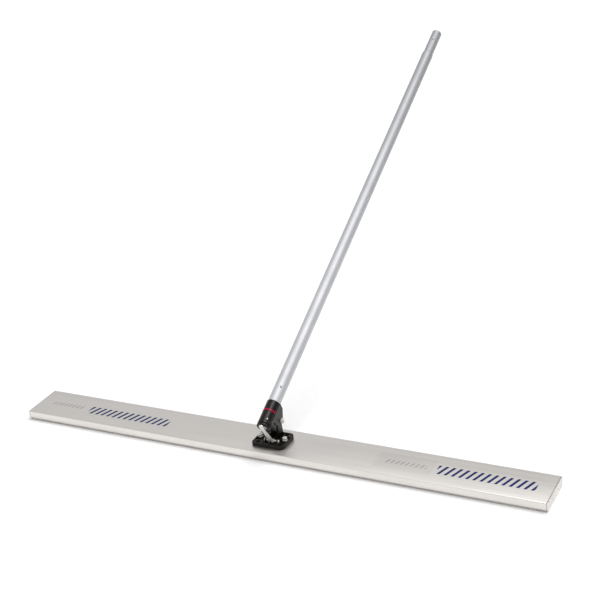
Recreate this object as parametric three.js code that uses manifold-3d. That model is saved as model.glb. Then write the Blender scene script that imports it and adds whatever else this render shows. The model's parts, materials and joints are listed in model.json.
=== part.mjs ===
// Hand screed with a twist-to-tilt head: a hollow aluminium blade, a cast tilting head, a long tube handle.
// Millimetres, +Z up. The origin is the centre of the blade's sole, +X runs along the blade, and the
// handle leans towards +Y.
import * as THREE from 'three';
import { mergeVertices } from 'three/addons/utils/BufferGeometryUtils.js';
import Module from 'manifold-3d';

const wasm = await Module();
wasm.setup();

// ---- driving dimensions -------------------------------------------------------------------------------
const GAP = 0.3;

const BLADE = { length: 2000, width: 170, height: 35, wall: 2, topRadius: 2.5, soleRadius: 12 };
const RIB = { y: 31, thickness: 2, portRadius: 5, portBore: 2.4 };
const CAP = { thickness: 3, plugDepth: 12, plugWall: 3, plugGap: 0.4 };
const CAP_SCREW = { head: 4.2, headDepth: 1.6, shank: 2, length: 16, recess: 0.1, socketDepth: 0.8 };

// Corner radii, pads and slots run front left, front right, rear right, rear left.
const BASE = { left: -63, right: 60.5, front: -54, rear: 42, rimHeight: 16, floor: 6, rimWall: 5 };
const BASE_CORNERS = [8, 22, 16, 16];
const PAD = { width: 38, depth: 25, height: 14, corner: 6 };
const SLOT = { length: 17, width: 11 };
const SLOT_CENTRES = [[-42.5, -40.5], [42.5, -40.5], [34, 29], [-42.5, 29]];
const BOLT = { y: -2, bossRadius: 12, bossHeight: 11, headRadius: 8, headHeight: 9, shank: 5, reach: 14 };
const BOLT_X = { left: -53, right: 42.5 };
const BOLT_COLLAR = { proud: 1.1, thickness: 1.6 };
const SPOT_FACE_RADIUS = 11;
const BOLT_SOCKET = { radius: 4.2, depth: 5 };
const NUT_PLATE = { length: 124, width: 44, thickness: 6, corner: 4 };

const LEAN = THREE.MathUtils.degToRad(27.3);
const PIVOT = { y: 19, rise: 75, shank: 5, boltEnd: 36.5 };
const PIVOT_HEX = { acrossFlats: 16, headLength: 6.5, nutLength: 6 };
const PIVOT_SLEEVE = { outer: 8.5 };
const PIVOT_BUSH = { inner: 5.3, outer: 7.7, flange: 11.5, flangeThickness: 1 };
const WASHER = { inner: 5.3, outer: 10, thickness: 1.8 };
const AXIS_RISE = 55.2;
const ARM = { inner: 8, outer: 16, eyeRadius: 13.5, footFront: 9, footRear: 41 };
const CHEEK = { inner: 17.6, outer: 24.3, proud: 1 };
const WEB = { top: 15, bottom: 25, low: -30, high: 24 };

const BARREL = { radius: 24.3, low: -64, high: 31.2, shaftBore: 17, bushBore: 19.3, mouthBore: 23.1 };
const BUSH = { length: 20, inner: 15.3, outer: 19 };
const PLUG = { t: -55, depth: -2, radius: 12.3, root: 12, face: 27, seat: 20.5, cap: 9.5 };
const CAP_SLOT = { depth: 1.4, halfLength: 6, halfWidth: 0.9 };
const SHOE = { radius: 6, root: 4, tip: 19.4, wayLow: 10, wayHigh: 30 };
const SET_SCREW = { t: -46, angle: THREE.MathUtils.degToRad(32), radius: 2.6, depth: 3.4, socket: 1.3 };
const BAND = { low: -13.5, high: -6, depth: 2.2, proud: 0.6, halfAngle: THREE.MathUtils.degToRad(79) };

const SHAFT = { radius: 15, tenon: 9, screwBore: 4.3 };
const SPIGOT = { low: 20, high: 150, radius: 20.3, bore: 14, floor: 50 };
const THRUST_WASHER = { outer: 20.3, thickness: 1.7 };
const DISC = { radius: 24.3, low: -71.8, high: -66.4, seat: 2.6, seatRadius: 12.3 };
const CRANK_SCREW = { head: 12, shank: 4, end: -46, proud: 0.1 };
const CRANK_RADIUS = 13;
const CRANK_PIN = { neck: 4, spacer: 6.5, head: 7, headHeight: 2.2, clearance: 1.7 };

const TUBE = { low: 20, neck: 1825, high: 1960, radius: 22.5, wall: 1.8, neckRadius: 20, taper: 9 };
const BUTTON = { radius: 3.9, hole: 4.3, proud: 3.6, flange: 6, flangeThickness: 1.4 };
const LOW_BUTTON = { t: 91, angle: THREE.MathUtils.degToRad(28) };
const HIGH_BUTTON = { t: 1906, angle: THREE.MathUtils.degToRad(15) };

const LEAF = { width: 7, strip: 1.1, legLength: 26, turn: 20 };

const LINK = { y: -20, rise: 13.5, thickness: 5, eyeWidth: 17, waist: 14, forkWidth: 17, forkGap: 5.6 };
const LINK_BACK = -74.9;
// The strap's centre line below its flat eye, in Y and height above the blade.
const LINK_EYE_LENGTH = 13;
const LINK_KNEE = [-33, 28];
const LINK_END = [-26.5, 9.5];
const KNUCKLE_RADIUS = 6.2;
const LINK_PIN = { radius: 3.5, reach: 29, head: 5.5, headLength: 2.6, nutLength: 2.8 };
const LUG = { inner: 19.5, outer: 24.5, halfFoot: 10, eyeRadius: 6.5 };

const FINE = 40;
const ROUND = 28;
const SMALL = 12;

// ---- materials ----------------------------------------------------------------------------------------
function finish(color, metalness, roughness) {
  return new THREE.MeshStandardMaterial({ color, metalness, roughness });
}

const aluminium = finish(0xc9c6c0, 0.9, 0.42);
const tubeMetal = finish(0xc4c6ca, 0.9, 0.35);
const blackCast = finish(0x1f1d1b, 0.2, 0.4);
const brightSteel = finish(0xd9d8d4, 1.0, 0.28);
const darkPlastic = finish(0x3a3a3c, 0.0, 0.6);
const redPlastic = finish(0xb3122f, 0.0, 0.3);
const bronze = finish(0xa9854a, 0.8, 0.45);

// ---- solids -------------------------------------------------------------------------------------------
function toSolid(geometry) {
  const bare = geometry.clone();
  bare.deleteAttribute('normal');
  bare.deleteAttribute('uv');
  const merged = mergeVertices(bare, 1e-4);
  const vertProperties = new Float32Array(merged.attributes.position.array);
  const triVerts = new Uint32Array(merged.index.array);
  return new wasm.Manifold(new wasm.Mesh({ numProp: 3, vertProperties, triVerts }));
}

function toGeometry(solid) {
  const mesh = solid.getMesh();
  const geometry = new THREE.BufferGeometry();
  geometry.setAttribute('position', new THREE.BufferAttribute(mesh.vertProperties, 3));
  geometry.setIndex(new THREE.BufferAttribute(mesh.triVerts, 1));
  geometry.computeVertexNormals();
  return geometry;
}

function build(base, { add = [], cut = [] }) {
  let solid = toSolid(base);
  for (const piece of add) solid = solid.add(toSolid(piece));
  for (const piece of cut) solid = solid.subtract(toSolid(piece));
  return toGeometry(solid);
}

const TO_YZ = new THREE.Matrix4().makeBasis(
  new THREE.Vector3(0, 1, 0), new THREE.Vector3(0, 0, 1), new THREE.Vector3(1, 0, 0));

// Lays an outline drawn in X and Y so that its X runs along +Z and its Y points to -Y.
const ALONG_TUBE = new THREE.Matrix4().makeBasis(
  new THREE.Vector3(0, 0, 1), new THREE.Vector3(0, -1, 0), new THREE.Vector3(1, 0, 0));

// A plan outline pushed up from z0 to z1.
function plate(shape, z0, z1, curveSegments = 4) {
  const geometry = new THREE.ExtrudeGeometry(shape, { depth: z1 - z0, bevelEnabled: false, curveSegments });
  return geometry.translate(0, 0, z0);
}

// A side outline, drawn in Y and Z, pushed along X from x0 to x1.
function side(shape, x0, x1, curveSegments = 4) {
  const geometry = new THREE.ExtrudeGeometry(shape, { depth: x1 - x0, bevelEnabled: false, curveSegments });
  return geometry.applyMatrix4(TO_YZ).translate(x0, 0, 0);
}

function boxBetween(low, high) {
  const size = high.map((value, i) => value - low[i]);
  const middle = high.map((value, i) => (value + low[i]) / 2);
  return new THREE.BoxGeometry(...size).translate(...middle);
}

// A rod along Z from z0 to z1, standing at x, y.
function rodZ(radius, z0, z1, { x = 0, y = 0, segments = ROUND, topRadius = radius } = {}) {
  const geometry = new THREE.CylinderGeometry(topRadius, radius, z1 - z0, segments);
  return geometry.rotateX(Math.PI / 2).translate(x, y, (z0 + z1) / 2);
}

// A rod along X from x0 to x1, passing through y, z.
function rodX(radius, x0, x1, { y = 0, z = 0, segments = ROUND } = {}) {
  const geometry = new THREE.CylinderGeometry(radius, radius, x1 - x0, segments);
  return geometry.rotateZ(-Math.PI / 2).translate((x0 + x1) / 2, y, z);
}

// A body of revolution about Z. The profile is a list of [radius, z] and closes on itself or on the axis.
function turned(profile, segments = ROUND) {
  const points = profile.map(([r, z]) => new THREE.Vector2(r, z));
  return new THREE.LatheGeometry([...points, points[0].clone()], segments).rotateX(Math.PI / 2);
}

function ring(inner, outer, z0, z1, segments = ROUND) {
  return turned([[inner, z0], [outer, z0], [outer, z1], [inner, z1]], segments);
}

// A rectangle whose corner radii run front left, front right, rear right, rear left.
function cornered([x0, x1], [y0, y1], [frontLeft, frontRight, rearRight, rearLeft]) {
  const shape = new THREE.Shape();
  shape.moveTo(x0 + frontLeft, y0);
  shape.absarc(x1 - frontRight, y0 + frontRight, frontRight, -Math.PI / 2, 0, false);
  shape.absarc(x1 - rearRight, y1 - rearRight, rearRight, 0, Math.PI / 2, false);
  shape.absarc(x0 + rearLeft, y1 - rearLeft, rearLeft, Math.PI / 2, Math.PI, false);
  shape.absarc(x0 + frontLeft, y0 + frontLeft, frontLeft, Math.PI, Math.PI * 1.5, false);
  return shape;
}

function roundedRectangle(width, height, radius, cx = 0, cy = 0) {
  const xs = [cx - width / 2, cx + width / 2];
  const ys = [cy - height / 2, cy + height / 2];
  return cornered(xs, ys, [radius, radius, radius, radius]);
}

function mesh(name, geometry, material) {
  const piece = new THREE.Mesh(geometry, material);
  piece.name = name;
  return piece;
}

const part = new THREE.Group();
const blade = new THREE.Group();
part.add(blade);

// ---- blade: an extruded box section with two inner ribs that carry the cap screws' ports ----------------
const profileEnd = BLADE.length / 2 - CAP.thickness - GAP;

// The blade's outer section in Y and Z: rounded sole edges and crisp top edges.
function bladeSection() {
  const half = BLADE.width / 2;
  const { height, topRadius, soleRadius } = BLADE;
  const shape = new THREE.Shape();
  shape.moveTo(-half + soleRadius, 0);
  shape.absarc(half - soleRadius, soleRadius, soleRadius, -Math.PI / 2, 0, false);
  shape.absarc(half - topRadius, height - topRadius, topRadius, 0, Math.PI / 2, false);
  shape.absarc(-half + topRadius, height - topRadius, topRadius, Math.PI / 2, Math.PI, false);
  shape.absarc(-half + soleRadius, soleRadius, soleRadius, Math.PI, Math.PI * 1.5, false);
  return shape;
}

// One hollow chamber between y0 and y1. The outer chambers follow the sole's rounded edge.
function chamber(y0, y1, inset, soleRadius = 1) {
  const low = BLADE.wall + inset;
  const high = BLADE.height - BLADE.wall - inset;
  const lowLeft = y0 < -RIB.y ? soleRadius : 1;
  const lowRight = y1 > RIB.y ? soleRadius : 1;
  const shape = new THREE.Shape();
  shape.moveTo(y0 + inset + lowLeft, low);
  shape.absarc(y1 - inset - lowRight, low + lowRight, lowRight, -Math.PI / 2, 0, false);
  shape.absarc(y1 - inset - 1, high - 1, 1, 0, Math.PI / 2, false);
  shape.absarc(y0 + inset + 1, high - 1, 1, Math.PI / 2, Math.PI, false);
  shape.absarc(y0 + inset + lowLeft, low + lowLeft, lowLeft, Math.PI, Math.PI * 1.5, false);
  return shape;
}

const innerSide = BLADE.width / 2 - BLADE.wall;
const chamberSpans = [
  [-innerSide, -RIB.y - RIB.thickness / 2],
  [-RIB.y + RIB.thickness / 2, RIB.y - RIB.thickness / 2],
  [RIB.y + RIB.thickness / 2, innerSide],
];
const chamberSoleRadius = BLADE.soleRadius - BLADE.wall;
const portZ = BLADE.height / 2;

function bladeProfile() {
  const reach = profileEnd + 1;
  let hollows = null;
  for (const [y0, y1] of chamberSpans) {
    const hollow = toSolid(side(chamber(y0, y1, 0, chamberSoleRadius), -reach, reach, 2));
    hollows = hollows ? hollows.add(hollow) : hollow;
  }
  for (const y of [-RIB.y, RIB.y]) {
    const port = rodX(RIB.portRadius, -reach - 1, reach + 1, { y, z: portZ, segments: SMALL });
    hollows = hollows.subtract(toSolid(port));
  }
  for (const y of [-RIB.y, RIB.y]) {
    const bore = rodX(RIB.portBore, -reach, reach, { y, z: portZ, segments: SMALL });
    hollows = hollows.add(toSolid(bore));
  }
  for (const x of Object.values(BOLT_X)) {
    const place = { x, y: BOLT.y, segments: SMALL };
    const hole = rodZ(BOLT.shank + GAP, BLADE.height - BLADE.wall - 1, BLADE.height + 1, place);
    hollows = hollows.add(toSolid(hole));
  }
  return toGeometry(toSolid(side(bladeSection(), -profileEnd, profileEnd, 3)).subtract(hollows));
}
blade.add(mesh('blade_profile', bladeProfile(), aluminium));

// An end cap: a plate of the blade's section with three hollow plugs that sit inside the chambers.
function endCap(sign) {
  const outer = sign * BLADE.length / 2;
  const inner = sign * (BLADE.length / 2 - CAP.thickness);
  const plugEnd = inner - sign * CAP.plugDepth;
  const span = (a, b) => [Math.min(a, b), Math.max(a, b)];
  const add = [];
  const cut = [];
  for (const [y0, y1] of chamberSpans) {
    const outside = chamber(y0, y1, CAP.plugGap, chamberSoleRadius);
    const inside = chamber(y0, y1, CAP.plugGap + CAP.plugWall, chamberSoleRadius);
    add.push(side(outside, ...span(inner + sign, plugEnd), 2));
    cut.push(side(inside, ...span(inner, plugEnd - sign), 1));
  }
  for (const y of [-RIB.y, RIB.y]) {
    const place = { y, z: portZ, segments: SMALL };
    const seat = outer - sign * CAP_SCREW.headDepth;
    cut.push(rodX(RIB.portRadius + GAP, ...span(inner, plugEnd - sign), place));
    cut.push(rodX(CAP_SCREW.shank + GAP, ...span(inner - sign, outer + sign), place));
    cut.push(rodX(CAP_SCREW.head + GAP, ...span(seat, outer + sign), place));
  }
  return build(side(bladeSection(), ...span(inner, outer), 3), { add, cut });
}

function capScrew(sign, y) {
  const top = BLADE.length / 2 - CAP_SCREW.recess;
  const seat = BLADE.length / 2 - CAP_SCREW.headDepth + GAP;
  const place = { y, z: portZ, segments: SMALL };
  const span = (a, b) => (sign > 0 ? [a, b] : [-b, -a]);
  const head = rodX(CAP_SCREW.head, ...span(seat, top), place);
  const shank = rodX(CAP_SCREW.shank, ...span(seat - CAP_SCREW.length, seat + 0.5), place);
  const hex = { ...place, segments: 6 };
  const socket = rodX(CAP_SCREW.head / 2, ...span(top - CAP_SCREW.socketDepth, top + 1), hex);
  return build(head, { add: [shank], cut: [socket] });
}

for (const [label, sign] of [['left', -1], ['right', 1]]) {
  blade.add(mesh(`end_cap_${label}`, endCap(sign), aluminium));
  for (const [where, y] of [['front', -RIB.y], ['rear', RIB.y]]) {
    blade.add(mesh(`cap_screw_${label}_${where}`, capScrew(sign, y), brightSteel));
  }
}

// ---- tilt base: a cast tray bolted to the blade, with two upright arms and the link's lug ---------------
const deck = BLADE.height + GAP;
const pivotZ = BLADE.height + PIVOT.rise;
const linkZ = BLADE.height + LINK.rise;

function armOutline() {
  const foot = deck + 1;
  const shape = new THREE.Shape();
  shape.moveTo(ARM.footFront, foot);
  shape.lineTo(ARM.footRear, foot);
  shape.lineTo(ARM.footRear - 1, deck + 16);
  shape.absarc(PIVOT.y, pivotZ, ARM.eyeRadius, -0.1, Math.PI + 0.1, false);
  shape.lineTo(ARM.footFront - 4, deck + 28);
  return shape;
}

function lugOutline() {
  const shape = new THREE.Shape();
  shape.moveTo(LINK.y - LUG.halfFoot, deck + 1);
  shape.lineTo(LINK.y + LUG.halfFoot, deck + 1);
  shape.absarc(LINK.y, linkZ, LUG.eyeRadius, 0, Math.PI, false);
  return shape;
}

// The tray's plan outline, drawn in by a distance all round.
function trayOutline(inset = 0) {
  const { left, right, front, rear } = BASE;
  const corners = BASE_CORNERS.map((radius) => radius - inset);
  return cornered([left + inset, right - inset], [front + inset, rear - inset], corners);
}

// Where the corner pads sit: flush with the tray's front or rear edge and its left or right edge.
function padCentre([slotX, slotY]) {
  const x = slotX < 0 ? BASE.left + PAD.width / 2 : BASE.right - PAD.width / 2;
  const y = slotY < 0 ? BASE.front + PAD.depth / 2 : BASE.rear - PAD.depth / 2;
  return [x, y];
}

function tiltBase() {
  const top = deck + BASE.rimHeight;
  const block = toSolid(plate(trayOutline(), deck, top));
  let solid = block.subtract(toSolid(plate(trayOutline(BASE.rimWall), deck + BASE.floor, top + 1)));
  for (const centre of SLOT_CENTRES) {
    const pad = roundedRectangle(PAD.width, PAD.depth, PAD.corner, ...padCentre(centre));
    solid = solid.add(toSolid(plate(pad, deck + 1, deck + PAD.height, 2)).intersect(block));
  }
  for (const x of Object.values(BOLT_X)) {
    const boss = rodZ(BOLT.bossRadius, deck + 1, deck + BOLT.bossHeight, { x, y: BOLT.y });
    solid = solid.add(toSolid(boss).intersect(block));
  }
  const lugHalf = LINK.forkGap / 2 - GAP - 0.2;
  const walls = [
    [armOutline, -ARM.outer, -ARM.inner, 6],
    [armOutline, ARM.inner, ARM.outer, 6],
    [lugOutline, -LUG.outer, -LUG.inner, 4],
    [lugOutline, -lugHalf, lugHalf, 4],
    [lugOutline, LUG.inner, LUG.outer, 4],
  ];
  for (const [outline, x0, x1, curveSegments] of walls) {
    solid = solid.add(toSolid(side(outline(), x0, x1, curveSegments)));
  }
  for (const centre of SLOT_CENTRES) {
    const slot = roundedRectangle(SLOT.length, SLOT.width, SLOT.width / 2 - 0.01, ...centre);
    solid = solid.subtract(toSolid(plate(slot, deck - 1, top + 1, 2)));
  }
  for (const x of Object.values(BOLT_X)) {
    const hole = rodZ(BOLT.shank + GAP, deck - 1, top + 1, { x, y: BOLT.y, segments: SMALL });
    const spotFace = rodZ(SPOT_FACE_RADIUS, deck + BOLT.bossHeight, top + 1, { x, y: BOLT.y });
    solid = solid.subtract(toSolid(hole)).subtract(toSolid(spotFace));
  }
  const pivotHole = rodX(PIVOT.shank + GAP, -30, 30, { y: PIVOT.y, z: pivotZ, segments: 16 });
  const linkHole = rodX(LINK_PIN.radius + GAP, -30, 30, { y: LINK.y, z: linkZ, segments: SMALL });
  return toGeometry(solid.subtract(toSolid(pivotHole)).subtract(toSolid(linkHole)));
}
blade.add(mesh('tilt_base', tiltBase(), blackCast));

function baseBolt(x) {
  const seat = deck + BOLT.bossHeight + GAP;
  const underHead = seat + BOLT_COLLAR.thickness;
  const top = underHead + BOLT.headHeight;
  const head = rodZ(BOLT.headRadius, underHead, top);
  const collar = rodZ(BOLT.headRadius + BOLT_COLLAR.proud, seat, underHead);
  const shank = rodZ(BOLT.shank, BLADE.height - BOLT.reach, seat + 1, { segments: SMALL });
  const socket = rodZ(BOLT_SOCKET.radius, top - BOLT_SOCKET.depth, top + 1, { segments: 6 });
  return build(head, { add: [collar, shank], cut: [socket] }).translate(x, BOLT.y, 0);
}
blade.add(mesh('base_bolt_left', baseBolt(BOLT_X.left), brightSteel));
blade.add(mesh('base_bolt_right', baseBolt(BOLT_X.right), brightSteel));

function nutPlate() {
  const top = BLADE.height - BLADE.wall - GAP;
  const outline = roundedRectangle(NUT_PLATE.length, NUT_PLATE.width, NUT_PLATE.corner);
  const place = { y: BOLT.y, segments: SMALL };
  const cut = Object.values(BOLT_X).map((x) => rodZ(BOLT.shank + GAP, 0, BLADE.height, { ...place, x }));
  return build(plate(outline, top - NUT_PLATE.thickness, top, 2), { cut });
}
blade.add(mesh('nut_plate', nutPlate(), brightSteel));

// ---- pivot: bolt, sleeve between the arms, washers and nut ----------------------------------------------
const pivotPlace = { y: PIVOT.y, z: pivotZ };
const washerIn = CHEEK.outer + CHEEK.proud + GAP;
const washerOut = washerIn + WASHER.thickness;

function hexX(acrossFlats, x0, x1, place) {
  const radius = acrossFlats / Math.sqrt(3);
  return rodX(radius, x0, x1, { ...place, segments: 6 });
}

function pivotBolt() {
  const headInner = -washerOut - GAP;
  const shank = rodX(PIVOT.shank, headInner - 0.5, PIVOT.boltEnd, { ...pivotPlace, segments: 16 });
  const { acrossFlats, headLength } = PIVOT_HEX;
  return build(hexX(acrossFlats, headInner - headLength, headInner, pivotPlace), { add: [shank] });
}
blade.add(mesh('pivot_bolt', pivotBolt(), brightSteel));

function ringX(inner, outer, x0, x1, place, segments) {
  const cut = [rodX(inner, x0 - 1, x1 + 1, { ...place, segments })];
  return build(rodX(outer, x0, x1, { ...place, segments }), { cut });
}
blade.add(mesh('pivot_washer_left',
  ringX(WASHER.inner, WASHER.outer, -washerOut, -washerIn, pivotPlace, 20), brightSteel));
blade.add(mesh('pivot_washer_right',
  ringX(WASHER.inner, WASHER.outer, washerIn, washerOut, pivotPlace, 20), brightSteel));
const sleeveHalf = ARM.inner - GAP;
blade.add(mesh('pivot_sleeve',
  ringX(PIVOT.shank + GAP, PIVOT_SLEEVE.outer, -sleeveHalf, sleeveHalf, pivotPlace, 20), brightSteel));

function pivotNut() {
  const inner = washerOut + GAP;
  const { acrossFlats, nutLength } = PIVOT_HEX;
  const bore = rodX(PIVOT.shank + GAP, inner - 1, inner + nutLength + 1, { ...pivotPlace, segments: 16 });
  return build(hexX(acrossFlats, inner, inner + nutLength, pivotPlace), { cut: [bore] });
}
blade.add(mesh('pivot_nut', pivotNut(), brightSteel));

// ---- link pin through the base's lugs -------------------------------------------------------------------
const linkPlace = { y: LINK.y, z: linkZ, segments: SMALL };
function linkPin() {
  const { radius, reach, head, headLength } = LINK_PIN;
  const headEnd = -LUG.outer - GAP;
  const rod = rodX(radius, headEnd - 0.1, reach, linkPlace);
  return build(rod, { add: [rodX(head, headEnd - headLength, headEnd, linkPlace)] });
}
blade.add(mesh('link_pin', linkPin(), brightSteel));

function linkPinNut() {
  const inner = LUG.outer + GAP;
  return ringX(LINK_PIN.radius + GAP, LINK_PIN.head, inner, inner + LINK_PIN.nutLength, linkPlace, SMALL);
}
blade.add(mesh('link_pin_nut', linkPinNut(), brightSteel));

// ---- tilting head: its local Z is the handle's axis direction, and its local -Y is the upper side -------
const head = new THREE.Group();
head.position.set(0, PIVOT.y, pivotZ);
head.rotation.x = -(Math.PI / 2 - LEAN);
part.add(head);
const onAxis = (geometry) => geometry.translate(0, -AXIS_RISE, 0);

// The cheek's outline. Along the handle is Z, and depth below the handle's axis is measured from the barrel.
function cheekOutline() {
  const fromPivot = (depth) => depth - AXIS_RISE;
  const shape = new THREE.Shape();
  shape.moveTo(fromPivot(-5), -50);
  shape.lineTo(fromPivot(4), -50);
  shape.lineTo(fromPivot(15), -37);
  shape.lineTo(fromPivot(36), -35);
  shape.lineTo(fromPivot(48), -28);
  shape.absarc(0, 0, 12.5, -1.1, 0.7, false);
  shape.lineTo(fromPivot(29), BARREL.high + 2.5);
  shape.lineTo(fromPivot(-5), BARREL.high + 2.5);
  return shape;
}

function turnedCut(profile) {
  return toSolid(onAxis(turned(profile, ROUND)));
}

const plugPlace = { y: -AXIS_RISE + PLUG.depth, z: PLUG.t };
const bandCutLine = -AXIS_RISE - BARREL.radius * Math.cos(BAND.halfAngle);

function housing() {
  const { radius, low, high, shaftBore, bushBore, mouthBore } = BARREL;
  const chamfer = 1.2;
  let solid = toSolid(onAxis(turned([
    [0, low], [radius - chamfer, low], [radius, low + chamfer],
    [radius, high - 0.8], [radius - 0.8, high], [0, high],
  ], FINE)));
  const cheekFace = CHEEK.outer + CHEEK.proud;
  for (const [x0, x1] of [[CHEEK.inner, cheekFace], [-cheekFace, -CHEEK.inner]]) {
    solid = solid.add(toSolid(side(cheekOutline(), x0, x1, 6)));
  }
  const webHalf = CHEEK.inner + 0.5;
  solid = solid.add(toSolid(boxBetween(
    [-webHalf, -AXIS_RISE + WEB.top, WEB.low], [webHalf, -AXIS_RISE + WEB.bottom, WEB.high])));
  solid = solid.add(toSolid(rodX(PLUG.radius, PLUG.root, PLUG.face, plugPlace)));
  solid = solid.subtract(turnedCut([[0, low - 20], [bushBore, low - 20], [bushBore, low + BUSH.length + 0.6],
    [shaftBore, low + BUSH.length + 0.6], [shaftBore, -1.4], [bushBore, -1.4], [bushBore, TUBE.low - 0.8],
    [mouthBore, TUBE.low - 0.8], [mouthBore, high + 20], [0, high + 20]]));
  solid = solid.subtract(toSolid(onAxis(ring(0.5, DISC.radius + 0.5, low - 20, low, ROUND))));
  solid = solid.subtract(toSolid(rodX(PIVOT_BUSH.outer + GAP, -30, 30)));
  const groove = ring(radius - BAND.depth, radius + 5, BAND.low - GAP, BAND.high + GAP, FINE);
  const upperSide = boxBetween([-40, -AXIS_RISE - 60, -40], [40, bandCutLine + GAP, 40]);
  solid = solid.subtract(toSolid(onAxis(groove)).intersect(toSolid(upperSide)));
  solid = solid.subtract(toSolid(rodX(PLUG.cap + GAP, PLUG.seat, 40, plugPlace)));
  solid = solid.subtract(toSolid(shoeWay()));
  return toGeometry(solid.subtract(toSolid(screwHole())));
}

// The brake shoe's way through the barrel and its lower bush.
function shoeWay() {
  return rodX(SHOE.radius + GAP, SHOE.wayLow, SHOE.wayHigh, { ...plugPlace, segments: 16 });
}

// Turns a geometry built standing on +Z at the origin so that it points out of the handle's axis.
function radial(geometry, t, angle) {
  return geometry.rotateX(Math.PI / 2).rotateZ(angle).translate(0, -AXIS_RISE, t);
}

function screwHole() {
  const { t, angle, radius, depth } = SET_SCREW;
  return radial(rodZ(radius + GAP, BARREL.radius - depth, BARREL.radius + 8, { segments: SMALL }), t, angle);
}
head.add(mesh('head_housing', housing(), blackCast));

function redBand() {
  const inner = BARREL.radius - BAND.depth + GAP;
  const outer = BARREL.radius + BAND.proud;
  const full = onAxis(ring(inner, outer, BAND.low, BAND.high, FINE));
  const lower = boxBetween([-40, bandCutLine, -40], [40, bandCutLine + 60, 40]);
  return build(full, { cut: [lower] });
}
head.add(mesh('red_band', redBand(), redPlastic));

function lowerBush() {
  const low = BARREL.low + GAP;
  return build(onAxis(ring(BUSH.inner, BUSH.outer, low, low + BUSH.length)), { cut: [shoeWay()] });
}
head.add(mesh('lower_bush', lowerBush(), bronze));
head.add(mesh('upper_bush',
  onAxis(ring(BUSH.inner, BUSH.outer, TUBE.low - 1 - BUSH.length, TUBE.low - 1)), bronze));

function setScrew() {
  const { t, angle, radius, depth, socket: socketRadius } = SET_SCREW;
  const low = BARREL.radius - depth + GAP;
  const high = BARREL.radius + 0.7;
  const socket = rodZ(socketRadius, high - 1.4, high + 1, { segments: 6 });
  return radial(build(rodZ(radius, low, high, { segments: SMALL }), { cut: [socket] }), t, angle);
}
head.add(mesh('bush_set_screw', setScrew(), brightSteel));

function pivotBush(sign) {
  const { inner, outer, flange, flangeThickness } = PIVOT_BUSH;
  const flangeIn = ARM.outer + GAP;
  const x1 = CHEEK.outer + CHEEK.proud;
  const span = (a, b) => (sign > 0 ? [a, b] : [-b, -a]);
  return build(rodX(outer, ...span(flangeIn, x1)), {
    add: [rodX(flange, ...span(flangeIn, flangeIn + flangeThickness))],
    cut: [rodX(inner, ...span(flangeIn - 1, x1 + 1))],
  });
}
head.add(mesh('pivot_bush_left', pivotBush(-1), bronze));
head.add(mesh('pivot_bush_right', pivotBush(1), bronze));

// Friction brake: a shoe against the spindle, a spring washer behind it and a slotted cap.
function frictionCap() {
  const inner = PLUG.seat + GAP;
  const outer = PLUG.face + 1.2;
  const { y, z } = plugPlace;
  const { depth, halfLength, halfWidth } = CAP_SLOT;
  const slot = boxBetween(
    [outer - depth, y - halfLength, z - halfWidth], [outer + 1, y + halfLength, z + halfWidth]);
  return build(rodX(PLUG.cap, inner, outer, plugPlace), { cut: [slot] });
}
head.add(mesh('friction_cap', frictionCap(), blackCast));

function frictionShoe() {
  const block = rodX(SHOE.radius, SHAFT.radius - SHOE.root, SHOE.tip, { ...plugPlace, segments: 16 });
  return build(block, { cut: [onAxis(rodZ(SHAFT.radius + GAP, BARREL.low - 20, -20))] });
}
head.add(mesh('friction_shoe', frictionShoe(), darkPlastic));
head.add(mesh('brake_spring_washer',
  ringX(2.5, SHOE.radius - 0.3, SHOE.tip + GAP, PLUG.seat, plugPlace, 16), brightSteel));

// ---- rotating handle: spindle, crank disc, tube and snap buttons ----------------------------------------
function spindle() {
  const { radius, tenon, screwBore } = SHAFT;
  const tenonLow = DISC.low + DISC.seat + GAP;
  const shoulder = DISC.high + GAP;
  const body = turned([[screwBore, tenonLow], [tenon, tenonLow], [tenon, shoulder], [radius, shoulder],
    [radius, SPIGOT.low], [SPIGOT.radius, SPIGOT.low + 0.5], [SPIGOT.radius, SPIGOT.high - 3],
    [SPIGOT.radius - 2, SPIGOT.high], [SPIGOT.bore, SPIGOT.high], [SPIGOT.bore, SPIGOT.floor],
    [0, SPIGOT.floor], [0, -40], [screwBore, -40]], ROUND);
  const hole = toSolid(radialHole(LOW_BUTTON, SPIGOT.bore - 2, SPIGOT.radius + 3));
  return toGeometry(toSolid(onAxis(body)).subtract(hole));
}

function radialHole(button, low, high) {
  return radial(rodZ(BUTTON.hole, low, high, { segments: 16 }), button.t, button.angle);
}
head.add(mesh('spindle', spindle(), brightSteel));

const thrustTop = BARREL.low - GAP;
const thrustLow = thrustTop - THRUST_WASHER.thickness;
head.add(mesh('thrust_washer',
  onAxis(ring(SHAFT.radius + GAP, THRUST_WASHER.outer, thrustLow, thrustTop)), brightSteel));

function crankDisc() {
  const { radius, low, high, seatRadius } = DISC;
  const chamfer = 1.3;
  const seat = low + DISC.seat;
  const bore = SHAFT.tenon + GAP;
  return onAxis(turned([[bore, high], [bore, seat], [seatRadius, seat], [seatRadius, low],
    [radius - chamfer, low], [radius, low + chamfer], [radius, high - 0.6], [radius - 0.6, high]], FINE));
}
head.add(mesh('crank_disc', crankDisc(), blackCast));

function crankScrew() {
  const { head: headRadius, shank, end, proud } = CRANK_SCREW;
  const top = DISC.low + DISC.seat - GAP;
  const bottom = DISC.low + proud;
  return onAxis(turned([
    [0, bottom], [headRadius, bottom], [headRadius, top], [shank, top], [shank, end], [0, end],
  ], 20));
}
head.add(mesh('crank_screw', crankScrew(), brightSteel));

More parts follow.
